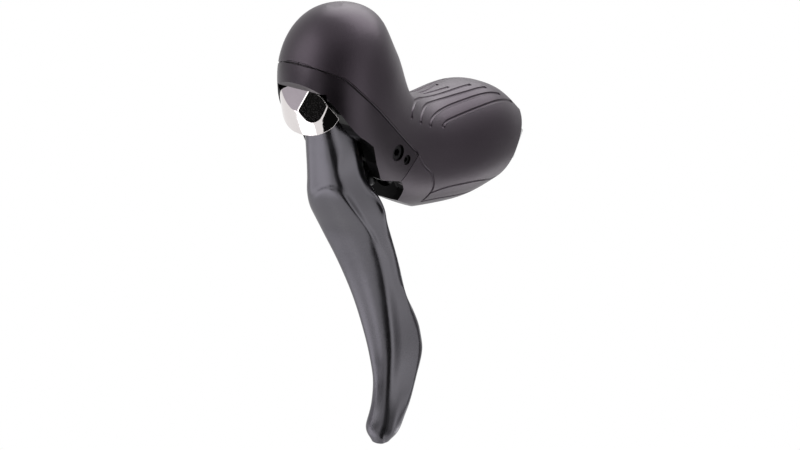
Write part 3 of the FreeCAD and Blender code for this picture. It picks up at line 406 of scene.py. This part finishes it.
def recall_normals(piece: bpy.types.Object) -> None:
    """Give a cut piece its written-down shading normals back.

    Args:
        piece: the cut piece.
    """
    mesh = piece.data
    kept = mesh.attributes[KEPT_NORMAL]
    shaded = []
    for face in mesh.polygons:
        for corner in face.loop_indices:
            normal = Vector(kept.data[corner].vector)
            facing = normal.normalized().dot(face.normal)
            usable = normal.length > KEPT_LENGTH and facing > KEPT_FACING
            shaded.append(normal.normalized() if usable else face.normal.copy())
    mesh.attributes.remove(kept)
    mesh.shade_smooth()
    mesh.normals_split_custom_set(shaded)


def side_prism(name: str, outline: Sequence[Tuple[float, float]], half: float) -> bpy.types.Object:
    """A prism across the lever from an outline in side view.

    Args:
        name: the prism's name.
        outline: x and z of each corner in millimetres.
        half: half its width in millimetres.

    Returns:
        The prism.
    """
    work = bmesh.new()
    face = work.faces.new([work.verts.new((x * MM, -half * MM, z * MM)) for x, z in outline])
    grown = bmesh.ops.extrude_face_region(work, geom=[face])
    ends = [item for item in grown["geom"] if isinstance(item, bmesh.types.BMVert)]
    bmesh.ops.translate(work, verts=ends, vec=(0.0, 2.0 * half * MM, 0.0))
    bmesh.ops.recalc_face_normals(work, faces=work.faces)
    mesh = bpy.data.meshes.new(name)
    work.to_mesh(mesh)
    work.free()
    piece = bpy.data.objects.new(name, mesh)
    bpy.context.collection.objects.link(piece)
    return piece


def spline(a: Number, b: Number, c: Number, d: Number, t: float) -> Number:
    """A smooth curve from b to c that heads in from a and out to d.

    Args:
        a: value before the span.
        b: value at its start.
        c: value at its end.
        d: value after the span.
        t: share of the span.

    Returns:
        The value at that share.
    """
    square = (a * 2.0 - b * 5.0 + c * 4.0 - d) * t * t
    cube = (b * 3.0 - a - c * 3.0 + d) * t * t * t
    return 0.5 * (b * 2.0 + (c - a) * t + square + cube)


def smooth_run(points: Sequence[Vector], steps: int = 6) -> List[Vector]:
    """A smooth run of points through the given ones.

    Args:
        points: points to pass through.
        steps: points made for each span.

    Returns:
        The run, ends included.
    """
    ends = [points[0] * 2.0 - points[1]] + list(points) + [points[-1] * 2.0 - points[-2]]
    run = []
    for k in range(1, len(ends) - 2):
        a, b, c, d = ends[k - 1:k + 3]
        for step in range(steps):
            run.append(spline(a, b, c, d, step / steps))
    run.append(points[-1].copy())
    return run


@dataclass(frozen=True)
class Groove:
    """A moulded line in the hood, through points on its skin in millimetres."""

    name: str
    points: Tuple[Point, ...]
    radius: float = 0.75
    depth: float = 0.55
    end_dot: float = 0.0


# Lines in the hood, on its outer side
GRIP_GROOVES = (
    Groove("edge", (
        (1.5, -11.8, 14.4), (-8.8, -14.1, 17.2), (-21.7, -15.2, 17.6),
        (-33.0, -14.9, 16.8), (-40.1, -15.0, 16.1), (-42.6, -15.5, 15.0),
    ), end_dot=1.0),
    Groove("upper", (
        (-5.7, -11.3, 18.4), (-12.1, -11.9, 20.4), (-23.6, -11.9, 20.9),
        (-33.2, -11.4, 20.3), (-39.4, -12.0, 19.9), (-44.0, -13.1, 19.4),
        (-47.6, -14.3, 18.5), (-49.6, -15.3, 16.9),
    ), end_dot=1.0),
    Groove("crown", (
        (-11.0, -8.9, 21.7), (-20.8, -9.3, 22.5), (-30.4, -8.2, 22.3),
        (-37.1, -7.9, 22.3), (-43.9, -9.3, 22.7), (-49.2, -11.8, 22.5),
        (-52.8, -14.0, 21.5), (-55.1, -15.6, 19.4),
    ), end_dot=1.0),
    Groove("top", (
        (-16.5, -6.2, 23.4), (-25.2, -5.6, 23.4), (-32.1, -4.8, 23.0),
        (-38.0, -4.6, 23.2), (-44.4, -5.9, 24.2), (-53.8, -11.5, 26.0),
        (-59.1, -15.3, 25.3), (-61.1, -16.6, 22.7),
    ), end_dot=1.0),
)
LOWER_GROOVES = (
    Groove("rib_high", (
        (-48.7, -14.9, -9.1), (-42.0, -15.8, -8.6), (-34.2, -16.5, -9.0),
        (-22.7, -16.4, -10.2), (-9.0, -13.0, -13.0),
    ), radius=0.6, depth=0.35),
    Groove("rib_low", (
        (-50.9, -12.0, -12.6), (-44.0, -12.8, -13.0), (-35.9, -13.1, -14.0), (-26.8, -12.6, -15.1),
        (-16.5, -11.0, -16.2),
    ), radius=0.6, depth=0.35),
    Groove("flap", (
        (-57.6, -17.2, 7.4), (-54.6, -17.1, 2.9), (-51.2, -17.1, -0.2),
        (-49.3, -16.6, -3.8), (-48.6, -15.8, -7.2), (-49.2, -14.8, -9.2),
        (-50.9, -12.0, -12.6),
    ), radius=0.6, depth=0.4),
)
MIDDLE_STRIPES = (
    Groove("stripe", (
        (-37.2, -1.1, 23.3), (-33.2, -1.2, 23.2), (-28.7, -1.9, 23.5), (-25.0, -2.7, 23.8),
    ), depth=0.5),
)
SEAM_LINE = Groove("seam", (
    (-102.0, 0.0, 47.6), (-101.5, -4.5, 47.2), (-98.2, -13.1, 45.2),
    (-95.0, -16.2, 43.2), (-92.8, -17.5, 40.9), (-90.5, -18.6, 38.4),
    (-81.3, -19.5, 29.8), (-68.8, -18.1, 18.1), (-58.6, -17.3, 8.6),
), radius=0.42, depth=0.42)


def carried(skin: BVHTree, groove: Groove, side: float) -> List[Vector]:
    """A groove's run, carried onto the skin and lifted to the cutter's middle.

    Args:
        skin: the skin to lie on.
        groove: the groove.
        side: 1 for the outer side, -1 for its mirror image.

    Returns:
        The run of points.
    """
    wanted = [Vector((x, y * side, z)) * MM for x, y, z in groove.points]
    lift = (groove.radius - groove.depth) * MM
    found = []
    for point in smooth_run(wanted):
        place, normal, _, _ = skin.find_nearest(point)
        found.append(place + normal * lift)
    return found


def bar_along(groove: Groove, run: List[Vector]) -> bpy.types.Object:
    """A round bar along a groove's run.

    Args:
        groove: the groove.
        run: points of the bar's middle.

    Returns:
        The bar, closed at both ends.
    """
    data = bpy.data.curves.new("groove_" + groove.name, "CURVE")
    data.dimensions = "3D"
    data.bevel_depth = groove.radius * MM
    data.bevel_resolution = 3
    data.use_fill_caps = True
    line = data.splines.new("POLY")
    line.points.add(len(run) - 1)
    for spot, point in zip(line.points, run):
        spot.co = (*point, 1.0)
    tool = bpy.data.objects.new("groove_" + groove.name, data)
    bpy.context.collection.objects.link(tool)
    activate(tool)
    bpy.ops.object.convert(target="MESH")
    tool = bpy.context.object
    bpy.ops.object.mode_set(mode="EDIT")
    bpy.ops.mesh.select_all(action="SELECT")
    bpy.ops.mesh.remove_doubles(threshold=MERGE_TOOL)
    bpy.ops.mesh.normals_make_consistent(inside=False)
    bpy.ops.object.mode_set(mode="OBJECT")
    return tool


@dataclass(frozen=True)
class Opening:
    """The opening under the lever's pivot, whose walls and shelf get painted shade: where it lies in
    millimetres and how its walls face.
    """

    front: float = -66.5
    back: float = -15.0
    floor: float = -12.0
    roof: float = 0.0
    half_width: float = 15.0
    wall_back: float = -45.0
    wall_facing: float = -0.8
    wall_slant: float = 0.05
    shelf_facing: float = 0.5
    shelf_half_width: float = 10.0

    def holds(self, face: bpy.types.MeshPolygon) -> bool:
        """Whether a face is one of the opening's walls or its shelf.

        Args:
            face: a face of the bracket or the hood.

        Returns:
            True for a wall or the shelf.
        """
        x, y, z = face.center / MM
        normal = face.normal
        if not (self.front < x < self.back and self.floor < z < self.roof and abs(y) < self.half_width):
            return False
        wall = normal.x < self.wall_facing and abs(normal.y) < self.wall_slant and x < self.wall_back
        shelf = normal.z > self.shelf_facing and abs(y) < self.shelf_half_width
        return wall or shelf

    def paint_shade(self, piece: bpy.types.Object) -> None:
        """Paint the opening's faces dull black: painted shade for the dark cavity under the pivot.

        Args:
            piece: the bracket or the hood.
        """
        piece.data.materials.append(OPENING_PAINTED_SHADE.material())
        dull = len(piece.data.materials) - 1
        for face in piece.data.polygons:
            if self.holds(face):
                face.material_index = dull


# Side view of what is taken off the toe
TRIM_HALF_WIDTH = 30.0
TOE_TRIM = (
    (-74.0, -4.8), (-64.0, -9.0), (-59.3, -11.2), (-52.6, -14.2),
    (-47.0, -17.6), (-47.0, -40.0), (-74.0, -40.0),
)


@dataclass
class Bracket:
    """The resin bracket: satin panel outside, black lips round the lever's slot whose near-black tone and
    weak reflections are partly painted shade for the gap beside the blade.
    """

    slot_front: float = -58.0
    slot_top: float = 36.0
    lip_facing: float = -0.45
    lip_slant: float = 0.05

    def build(self) -> None:
        """Trim the toe, pick out the slot's lips and hand it over."""
        piece = copy_of("bracket_body", "bracket_skin")
        skin = BVHTree.FromObject(piece, bpy.context.evaluated_depsgraph_get())
        cut(piece, side_prism("toe_trim", TOE_TRIM, TRIM_HALF_WIDTH))
        for side in SIDES:
            cut(piece, bar_along(SEAM_LINE, carried(skin, SEAM_LINE, side)))
        recall_normals(piece)
        dress(piece, BRACKET_RESIN)
        # Slot's lips: partly black surface, partly painted shade in the gap beside the blade.
        piece.data.materials.append(SLOT_BLACK_AND_SHADE.material())
        black = len(piece.data.materials) - 1
        for face in piece.data.polygons:
            middle = face.center / MM
            flat_lip = face.normal.x < self.lip_facing and abs(face.normal.y) < self.lip_slant
            if flat_lip and middle.x < self.slot_front and middle.z < self.slot_top:
                face.material_index = black
        # Painted shade: the opening's walls and shelf go dull black.
        Opening().paint_shade(piece)
        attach(piece, Body.BRACKET.value)
        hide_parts("bracket_body")
        LOG.info("bracket dressed, %d faces", len(piece.data.polygons))


@dataclass
class Hood:
    """The rubber hood with its grip grooves, end dots, stripes, lower ribs, flap line and seam."""

    grooves: Tuple[Groove, ...] = GRIP_GROOVES + LOWER_GROOVES + MIDDLE_STRIPES + (SEAM_LINE,)
    dot_segments: int = 20
    dot_rings: int = 12

    def build(self) -> None:
        """Copy the CAD hood, cut its lines and hand it over."""
        piece = copy_of("hood", "hood_skin")
        skin = BVHTree.FromObject(piece, bpy.context.evaluated_depsgraph_get())
        cut(piece, side_prism("toe_trim", TOE_TRIM, TRIM_HALF_WIDTH))
        for groove in self.grooves:
            for side in SIDES:
                run = carried(skin, groove, side)
                cut(piece, bar_along(groove, run))
                if groove.end_dot:
                    deselect()
                    bpy.ops.mesh.primitive_uv_sphere_add(
                        segments=self.dot_segments, ring_count=self.dot_rings,
                        radius=groove.end_dot * MM, location=run[-1],
                    )
                    bpy.ops.object.transform_apply(location=True)
                    cut(piece, bpy.context.object)
        recall_normals(piece)
        dress(piece, HOOD_RUBBER)
        # Painted shade: the opening's walls and shelf go dull black.
        Opening().paint_shade(piece)
        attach(piece, Body.BRACKET.value)
        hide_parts("hood")
        LOG.info("hood cut, %d faces", len(piece.data.polygons))


def ease(value: float, start: float, end: float) -> float:
    """A soft step from 0 at start to 1 at end.

    Args:
        value: where to look.
        start: where the step begins.
        end: where it ends.

    Returns:
        The step's height.
    """
    share = min(1.0, max(0.0, (value - start) / (end - start)))
    return share * share * (3.0 - 2.0 * share)


def soft_max(first: float, second: float, blend: float) -> float:
    """The larger of two values, rounded off where they are close.

    Args:
        first: one value.
        second: the other value.
        blend: how close they are where the rounding begins.

    Returns:
        The rounded larger value.
    """
    overlap = max(0.0, blend - abs(first - second)) / blend
    return max(first, second) + overlap * overlap * blend * 0.25


def smooth_all(rounds: int) -> None:
    """Smooth the whole of the active piece.

    Args:
        rounds: smoothing passes.
    """
    bpy.ops.object.mode_set(mode="EDIT")
    bpy.ops.mesh.select_all(action="SELECT")
    bpy.ops.mesh.vertices_smooth(factor=0.5, repeat=rounds)
    bpy.ops.object.mode_set(mode="OBJECT")


def remeshed(
    node: str,
    name: str,
    voxel: float,
    rounds: int,
    *plugs: bpy.types.Object,
) -> bpy.types.Object:
    """A copy of a CAD piece with an even, fine skin ready for shaping.

    Args:
        node: the CAD node's name.
        name: the new piece's name.
        voxel: size of the skin's cells in millimetres.
        rounds: smoothing passes.
        plugs: pieces pressed into it that become part of the skin.

    Returns:
        The copy.
    """
    piece = copy_of(node, name)
    for plug in plugs:
        plug.select_set(True)
    if plugs:
        bpy.ops.object.join()
    piece.data.remesh_voxel_size = voxel * MM
    bpy.ops.object.voxel_remesh()
    smooth_all(rounds)
    return piece


# Where rays start, in metres off the skin, and how far behind the wall a press fades out
STAND_OFF = 0.2
FAR_OFF = 0.3
WALL_FADE = 1.6


def press(
    piece: bpy.types.Object,
    inward: Vector,
    depth: Callable[[Vector], float],
    wall: float,
) -> None:
    """Press a piece's outer wall in along one direction, both of its faces together.

    Args:
        piece: the piece to shape.
        inward: unit direction of the press.
        depth: depth in millimetres for a point of the outer face, given in millimetres.
        wall: thickness that moves in full, in millimetres; the push fades out beyond it.
    """
    skin = BVHTree.FromObject(piece, bpy.context.evaluated_depsgraph_get())
    moved = []
    for vertex in piece.data.vertices:
        place, _, _, _ = skin.ray_cast(vertex.co - inward * STAND_OFF, inward)
        if place is None:
            continue
        below = (vertex.co - place).dot(inward) / MM
        share = 1.0 - ease(below, wall, wall * WALL_FADE)
        if share > 0.0:
            push = depth(place / MM)
            if push:
                moved.append((vertex, push * share))
    for vertex, push in moved:
        vertex.co += inward * (push * MM)
    piece.data.update()


# The finger pad's edge: distance to the viewer's right, and height, in millimetres
PAD_ARCH = (
    (-64.3, -6.1), (-62.0, -2.8), (-59.8, -1.0), (-57.6, -0.1),
    (-55.5, -0.3), (-53.7, -1.4), (-52.3, -3.0),
)
PAD_SIDE = (
    (-50.9, -5.1), (-48.4, -9.1), (-45.6, -14.2), (-42.8, -19.6),
    (-40.0, -29.7), (-37.9, -41.1), (-36.5, -51.9),
    (-35.6, -61.6), (-36.1, -71.1), (-37.2, -82.2), (-38.7, -93.0),
)


@dataclass
class Blade:
    """The lever blade: a round neck, a raised finger pad and one canted side face, in millimetres."""

    look: Vector = field(default_factory=lambda: Vector((0.743, 0.669, 0.0)))
    voxel: float = 0.4
    rounds: int = 6
    wall: float = 3.4
    crease_angle: float = 40.0
    top: float = 40.0
    bottom: float = -105.0
    step: float = 0.75
    step_width: float = 1.8
    pad_left: float = -99.0
    pad_bottom: float = -120.0
    arch_foot: float = -7.0
    arch_fade: Tuple[float, float] = (-67.0, -61.5)
    roll: float = 3.2
    roll_fade: Tuple[float, float] = (-16.0, -30.0)
    roll_rounds: int = 70
    neck_line: float = -54.4
    neck_foot: float = 2.0
    neck_left: float = -60.0
    neck_low: float = -40.0
    neck_margin: float = 2.5
    neck_rounds: int = 30
    rim: float = 0.25
    search: float = 0.3
    blend_in: float = 1.0
    blend_out: float = 0.3
    most_pull: float = 3.0
    tip_fade: Tuple[float, float] = (-92.0, -80.0)
    front_skin: float = 0.2
    stations: Tuple[float, ...] = (28.0, 20.0, 12.0, 4.0, -10.0, -22.0, -36.0, -50.0, -64.0, -78.0, -92.0)
    lifts: Tuple[float, ...] = (2.6, 2.6, 2.6, 2.6, -1.0, 0.0, 0.6, 0.6, 0.6, 0.6, 0.6)
    edge: List[Vector] = field(default_factory=list)
    facets: List[Tuple[float, ...]] = field(default_factory=list)

    def across(self, point: Vector) -> float:
        """Distance to the viewer's right.

        Args:
            point: a point.

        Returns:
            The distance.
        """
        return point.x * self.look.y - point.y * self.look.x

    def inside_pad(self, spot: Vector) -> bool:
        """Whether a spot lies on the pad: below its arch and left of its side line.

        Args:
            spot: distance across, and height.

        Returns:
            True on the pad.
        """
        inside = False
        foot = [Vector((PAD_SIDE[-1][0], self.pad_bottom)), Vector((self.pad_left, self.pad_bottom))]
        ring = self.edge + foot + [Vector((self.pad_left, PAD_ARCH[0][1]))]
        for a, b in zip(ring, ring[1:] + ring[:1]):
            if (a.y > spot.y) != (b.y > spot.y):
                if spot.x < a.x + (spot.y - a.y) * (b.x - a.x) / (b.y - a.y):
                    inside = not inside
        return inside

    def from_edge(self, spot: Vector) -> float:
        """Distance from the pad's edge line.

        Args:
            spot: distance across, and height.

        Returns:
            The distance.
        """
        best = math.inf
        for a, b in zip(self.edge, self.edge[1:]):
            run = b - a
            t = min(1.0, max(0.0, (spot - a).dot(run) / run.length_squared))
            best = min(best, (spot - a - run * t).length)
        return best

    def pad_step(self, point: Vector) -> float:
        """How far the metal round the pad lies below it.

        Args:
            point: a point of the front.

        Returns:
            The depth.
        """
        spot = Vector((self.across(point), point.z))
        if self.inside_pad(spot):
            return 0.0
        fade = 1.0
        if spot.y > self.arch_foot:
            fade = ease(spot.x, *self.arch_fade)
        return self.step * fade * ease(self.from_edge(spot), 0.0, self.step_width)

    def side_start(self, z: float) -> float:
        """Where the canted side face begins at a height.

        Args:
            z: the height.

        Returns:
            The distance across.
        """
        line = [Vector((self.neck_line, self.top)), Vector((self.neck_line, self.neck_foot))]
        line += [Vector(p) for p in PAD_SIDE] + [Vector((PAD_SIDE[-1][0], self.bottom))]
        for a, b in zip(line, line[1:]):
            if a.y >= z >= b.y:
                return a.x + (b.x - a.x) * (a.y - z) / (a.y - b.y)
        return line[-1].x

    def survey(self, skin: BVHTree) -> None:
        """Find the side face's two edges and their depths at every station.

        Args:
            skin: the blade before shaping.
        """
        def front(s: float, z: float) -> float:
            """Depth of the front at a place across and a height, or 0 where there is none."""
            start = Vector((self.look.y * s, -self.look.x * s, z)) * MM - self.look * FAR_OFF
            place, _, _, _ = skin.ray_cast(start, self.look)
            return place.dot(self.look) / MM if place else 0.0

        for z, lift in zip(self.stations, self.lifts):
            start = self.side_start(z)
            end = start
            while front(end + self.search, z):
                end += self.search
            end -= self.rim
            self.facets.append((z, start, front(start, z), end, front(end, z) - lift))

    def cant(self, point: Vector) -> float:
        """The push, or pull where negative, that makes the side face one even sweep.

        Args:
            point: a point of the front.

        Returns:
            The push.
        """
        k = 0
        while k < len(self.facets) - 2 and point.z < self.facets[k + 1][0]:
            k += 1
        rows = [self.facets[max(0, min(len(self.facets) - 1, j))] for j in range(k - 1, k + 3)]
        t = min(1.0, max(0.0, (rows[1][0] - point.z) / (rows[1][0] - rows[2][0])))
        start, near, end, far = (spline(*values, t) for values in list(zip(*rows))[1:])
        s = self.across(point)
        if not start < s < end + self.rim:
            return 0.0
        chord = near + (far - near) * (s - start) / (end - start)
        push = chord - point.dot(self.look)
        fade = ease(s, start, start + self.blend_in) * (1.0 - ease(s, end - self.blend_out, end + self.rim))
        return max(-self.most_pull, push) * fade * ease(point.z, *self.tip_fade)

    def on_neck(self, spot: Vector) -> bool:
        """Whether a spot lies on the neck's corner or side.

        Args:
            spot: a point of the blade.

        Returns:
            True on the neck.
        """
        left = max(self.neck_left, self.side_start(spot.z) - self.neck_margin)
        return spot.z > self.neck_low and self.across(spot) > left

    def on_roll(self, spot: Vector) -> bool:
        """Whether a spot lies where the pad rolls over into the side face.

        Args:
            spot: a point of the blade.

        Returns:
            True on the roll.
        """
        reach = self.roll * ease(spot.z, *self.roll_fade)
        return spot.z < self.roll_fade[0] and self.from_edge(Vector((self.across(spot), spot.z))) < reach

    def soften(self, piece: bpy.types.Object, chosen: Callable[[Vector], bool], rounds: int) -> None:
        """Run the faces of the chosen spots of the front into one another.

        Args:
            piece: the blade.
            chosen: tells whether a spot in millimetres is to be softened.
            rounds: how often.
        """
        activate(piece)
        bpy.ops.object.mode_set(mode="EDIT")
        bpy.ops.mesh.select_mode(type="VERT")
        bpy.ops.mesh.select_all(action="DESELECT")
        bpy.ops.object.mode_set(mode="OBJECT")
        skin = BVHTree.FromObject(piece, bpy.context.evaluated_depsgraph_get())
        for vertex in piece.data.vertices:
            if not chosen(vertex.co / MM):
                continue
            place, _, _, _ = skin.ray_cast(vertex.co - self.look * STAND_OFF, self.look)
            vertex.select = place is not None and (vertex.co - place).length < self.front_skin * MM
        bpy.ops.object.mode_set(mode="EDIT")
        bpy.ops.mesh.vertices_smooth(factor=0.5, repeat=rounds)
        bpy.ops.object.mode_set(mode="OBJECT")

    def build(self) -> None:
        """Shape the blade's skin and hand it over."""
        run = [Vector((*p, 0.0)) for p in PAD_ARCH + PAD_SIDE]
        self.edge = [Vector((p.x, p.y)) for p in smooth_run(run, 3)]
        pins = copy_of("blade_pins", "blade_pin_plugs")
        piece = remeshed("lever_blade", "blade_skin", self.voxel, self.rounds, pins)
        self.survey(BVHTree.FromObject(piece, bpy.context.evaluated_depsgraph_get()))
        press(piece, self.look, self.cant, self.wall)
        self.soften(piece, self.on_neck, self.neck_rounds)
        press(piece, self.look, self.pad_step, self.wall)
        self.soften(piece, self.on_roll, self.roll_rounds)
        activate(piece)
        smooth_all(self.rounds)
        bpy.ops.object.shade_smooth_by_angle(angle=math.radians(self.crease_angle))
        dress(piece, BLADE_ALLOY)
        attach(piece, Body.LEVER.value)
        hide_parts("lever_blade", "blade_pins")
        LOG.info("blade shaped, %d faces", len(piece.data.polygons))


@dataclass
class NoseCap:
    """The polished cap with a left and a right flat that meet in a crease."""

    inward: Vector = field(default_factory=lambda: Vector((1.0, 0.0, 0.0)))
    voxel: float = 0.22
    rounds: int = 2
    wall: float = 2.6
    crease: float = 0.25
    left_flat: Tuple[Point, Point] = ((-101.95, 0.5, 30.7), (-0.979, 0.036, 0.199))
    right_flat: Tuple[Point, Point] = ((-101.95, 0.5, 30.7), (-0.977, -0.204, 0.067))

    def flat_at(self, flat: Tuple[Point, Point], point: Vector) -> float:
        """The flat's x at a point's side and height.

        Args:
            flat: a point of the flat and the direction it faces.
            point: where to look.

        Returns:
            The x in millimetres.
        """
        (x, y, z), (a, b, c) = flat
        return x - (b * (point.y - y) + c * (point.z - z)) / a

    def depth(self, point: Vector) -> float:
        """How far the flats lie behind the plain skin.

        Args:
            point: a point of the skin in millimetres.

        Returns:
            The depth in millimetres.
        """
        left = self.flat_at(self.left_flat, point)
        right = self.flat_at(self.right_flat, point)
        return max(0.0, soft_max(point.x, soft_max(left, right, self.crease), self.crease) - point.x)

    def build(self) -> None:
        """Shape the cap and hand it over."""
        piece = remeshed("nose_cap", "nose_cap_skin", self.voxel, self.rounds)
        press(piece, self.inward, self.depth, self.wall)
        activate(piece)
        bpy.ops.object.shade_smooth()
        dress(piece, POLISHED_CHROME)
        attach(piece, Body.LEVER.value)
        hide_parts("nose_cap")
        LOG.info("cap shaped, %d faces", len(piece.data.polygons))


@dataclass
class PistonCoil:
    """The coil that pushes the piston back."""

    closed_end: Point = (-27.3, -2.0, -1.5)
    kept_share: float = 0.64

    def build(self) -> None:
        """Copy the CAD coil and hand it over."""
        piece = copy_of("piston_spring", "piston_coil")
        recall_normals(piece)
        dress(piece, BRIGHT_STEEL)
        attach(piece, Body.BRACKET.value)
        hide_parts("piston_spring")
        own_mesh(piece)
        LOG.info("piston coil made")


@dataclass
class Studio:
    """Floor, soft lamps, cards for the gloss, world and camera."""

    target: Point = (-0.0557, -0.005, -0.0225)
    azimuth: float = -48.0
    elevation: float = 19.0
    distance: float = 0.85
    lens: float = 104.0
    aim_right: float = 0.00074
    aim_up: float = 0.00037
    sensor: float = 36.0
    near_clip: float = 0.01
    floor_height: float = -0.8
    floor_size: float = 12.0
    gloss_level: float = 0.7
    fill_level: float = 0.25

    def axes(self) -> Tuple[Vector, Vector, Vector]:
        """The camera's right, up and back directions.

        Returns:
            Three unit directions.
        """
        az = math.radians(self.azimuth)
        el = math.radians(self.elevation)
        back = Vector((math.sin(az) * math.cos(el), -math.cos(az) * math.cos(el), math.sin(el)))
        right = Vector((math.cos(az), math.sin(az), 0.0))
        return right, back.cross(right), back

    def place(self, obj: bpy.types.Object, offset: Point) -> None:
        """Put a lamp or card round the target, facing it.

        Args:
            obj: the lamp or card.
            offset: metres to the camera's right, up and back from the target.
        """
        right, up, back = self.axes()
        away = right * offset[0] + up * offset[1] + back * offset[2]
        obj.location = Vector(self.target) + away
        obj.rotation_euler = away.normalized().to_track_quat("Z", "Y").to_euler()

    def camera(self) -> None:
        """Place the camera at the photograph's angle."""
        right, up, back = self.axes()
        aim = Vector(self.target) + right * self.aim_right + up * self.aim_up
        data = bpy.data.cameras.new("studio_camera")
        data.lens = self.lens
        data.sensor_width = self.sensor
        data.clip_start = self.near_clip
        obj = bpy.data.objects.new("studio_camera", data)
        bpy.context.collection.objects.link(obj)
        obj.location = aim + back * self.distance
        obj.rotation_euler = back.to_track_quat("Z", "Y").to_euler()
        bpy.context.scene.camera = obj

    def lamp(self, name: str, offset: Point, size: Tuple[float, float], power: float) -> None:
        """Add a soft box.

        Args:
            name: the lamp's name.
            offset: metres to the camera's right, up and back from the target.
            size: width and height in metres.
            power: watts.
        """
        data = bpy.data.lights.new(name, "AREA")
        data.shape = "RECTANGLE"
        data.size = size[0]
        data.size_y = size[1]
        data.energy = power
        obj = bpy.data.objects.new(name, data)
        bpy.context.collection.objects.link(obj)
        obj.visible_camera = False
        self.place(obj, offset)

    def world(self) -> None:
        """A white surround for camera and gloss, dimmer as light."""
        world = bpy.data.worlds.new("studio_world")
        world.use_nodes = True
        bpy.context.scene.world = world
        graph = Graph(world.node_tree)
        backdrop = world.node_tree.nodes["Background"]
        backdrop.inputs["Color"].default_value = (1.0, 1.0, 1.0, 1.0)
        path = graph.add("ShaderNodeLightPath")
        seen = graph.math("MAXIMUM", path.outputs["Is Camera Ray"], path.outputs["Is Transmission Ray"])
        gloss = graph.math("MULTIPLY", path.outputs["Is Glossy Ray"], self.gloss_level)
        level = graph.math("MAXIMUM", graph.math("MAXIMUM", seen, gloss), self.fill_level)
        graph.link(level, backdrop.inputs["Strength"])

    def floor(self) -> None:
        """A plain pale floor well below the lever."""
        deselect()
        bpy.ops.mesh.primitive_plane_add(size=self.floor_size, location=(0.0, 0.0, self.floor_height))
        floor = bpy.context.object
        floor.name = "studio_floor"
        made = bpy.data.materials.new("pale_floor")
        made.use_nodes = True
        graph = Graph(made.node_tree)
        shader = made.node_tree.nodes["Principled BSDF"]
        shader.inputs["Base Color"].default_value = (0.9, 0.9, 0.9, 1.0)
        shader.inputs["Roughness"].default_value = 0.9
        glow = graph.add("ShaderNodeEmission")
        path = graph.add("ShaderNodeLightPath")
        seen = graph.math("MAXIMUM", path.outputs["Is Camera Ray"], path.outputs["Is Glossy Ray"])
        blend = graph.add("ShaderNodeMixShader")
        graph.link(seen, blend.inputs["Fac"])
        graph.link(shader.outputs["BSDF"], blend.inputs[1])
        graph.link(glow.outputs["Emission"], blend.inputs[2])
        graph.link(blend.outputs["Shader"], made.node_tree.nodes["Material Output"].inputs["Surface"])
        floor.data.materials.append(made)

    def card(self, name: str, offset: Point, size: Tuple[float, float], colour: Colour) -> None:
        """Add a card that only gloss sees.

        Args:
            name: the card's name.
            offset: metres to the camera's right, up and back from the target.
            size: width and height in metres.
            colour: light that the card gives back.
        """
        deselect()
        bpy.ops.mesh.primitive_plane_add(size=1.0)
        card = bpy.context.object
        card.name = name
        card.scale = (size[0], size[1], 1.0)
        self.place(card, offset)
        made = bpy.data.materials.new(name + "_tone")
        made.use_nodes = True
        shader = made.node_tree.nodes["Principled BSDF"]
        shader.inputs["Base Color"].default_value = (0.0, 0.0, 0.0, 1.0)
        shader.inputs["Specular IOR Level"].default_value = 0.0
        shader.inputs["Emission Color"].default_value = (*colour, 1.0)
        shader.inputs["Emission Strength"].default_value = 1.0
        card.data.materials.append(made)
        card.visible_camera = False
        card.visible_diffuse = False
        card.visible_shadow = False

    def build(self) -> None:
        """Set up the whole studio."""
        self.world()
        self.floor()
        self.camera()
        self.lamp("left_box", (-0.95, 0.25, 0.35), (0.7, 1.2), 5.0)
        self.lamp("right_box", (0.80, -0.28, 0.48), (0.35, 0.8), 0.5)
        self.lamp("top_box", (0.42, 1.05, -0.25), (1.7, 1.1), 18.0)
        self.lamp("low_box", (0.62, -0.68, -0.50), (0.6, 0.5), 2.2)
        self.card("front_card", (-0.02, -0.62, 0.68), (1.0, 0.75), (0.004, 0.004, 0.004))
        self.card("camera_card", (0.0, 0.15, 1.3), (1.3, 1.2), (0.02, 0.02, 0.02))
        self.card("right_card", (0.86, -0.10, -0.22), (0.8, 0.62), (0.18, 0.17, 0.18))
        self.card("neck_card", (-0.70, -0.38, 0.06), (0.44, 0.44), (2.0, 1.98, 2.05))
        self.card("cap_card", (-0.535, -0.18, 0.294), (0.22, 0.22), (0.004, 0.004, 0.004))
        self.card("left_card", (-0.728, 0.0, 0.094), (0.26, 0.34), (0.50, 0.47, 0.52))
        bpy.context.scene.view_settings.view_transform = "Standard"
        LOG.info("studio ready")


def main() -> None:
    """Build every sub-assembly in order."""
    CarriedNodes().build()
    Bracket().build()
    Hood().build()
    Blade().build()
    NoseCap().build()
    PistonCoil().build()
    Studio().build()


if __name__ == "__main__":
    main()
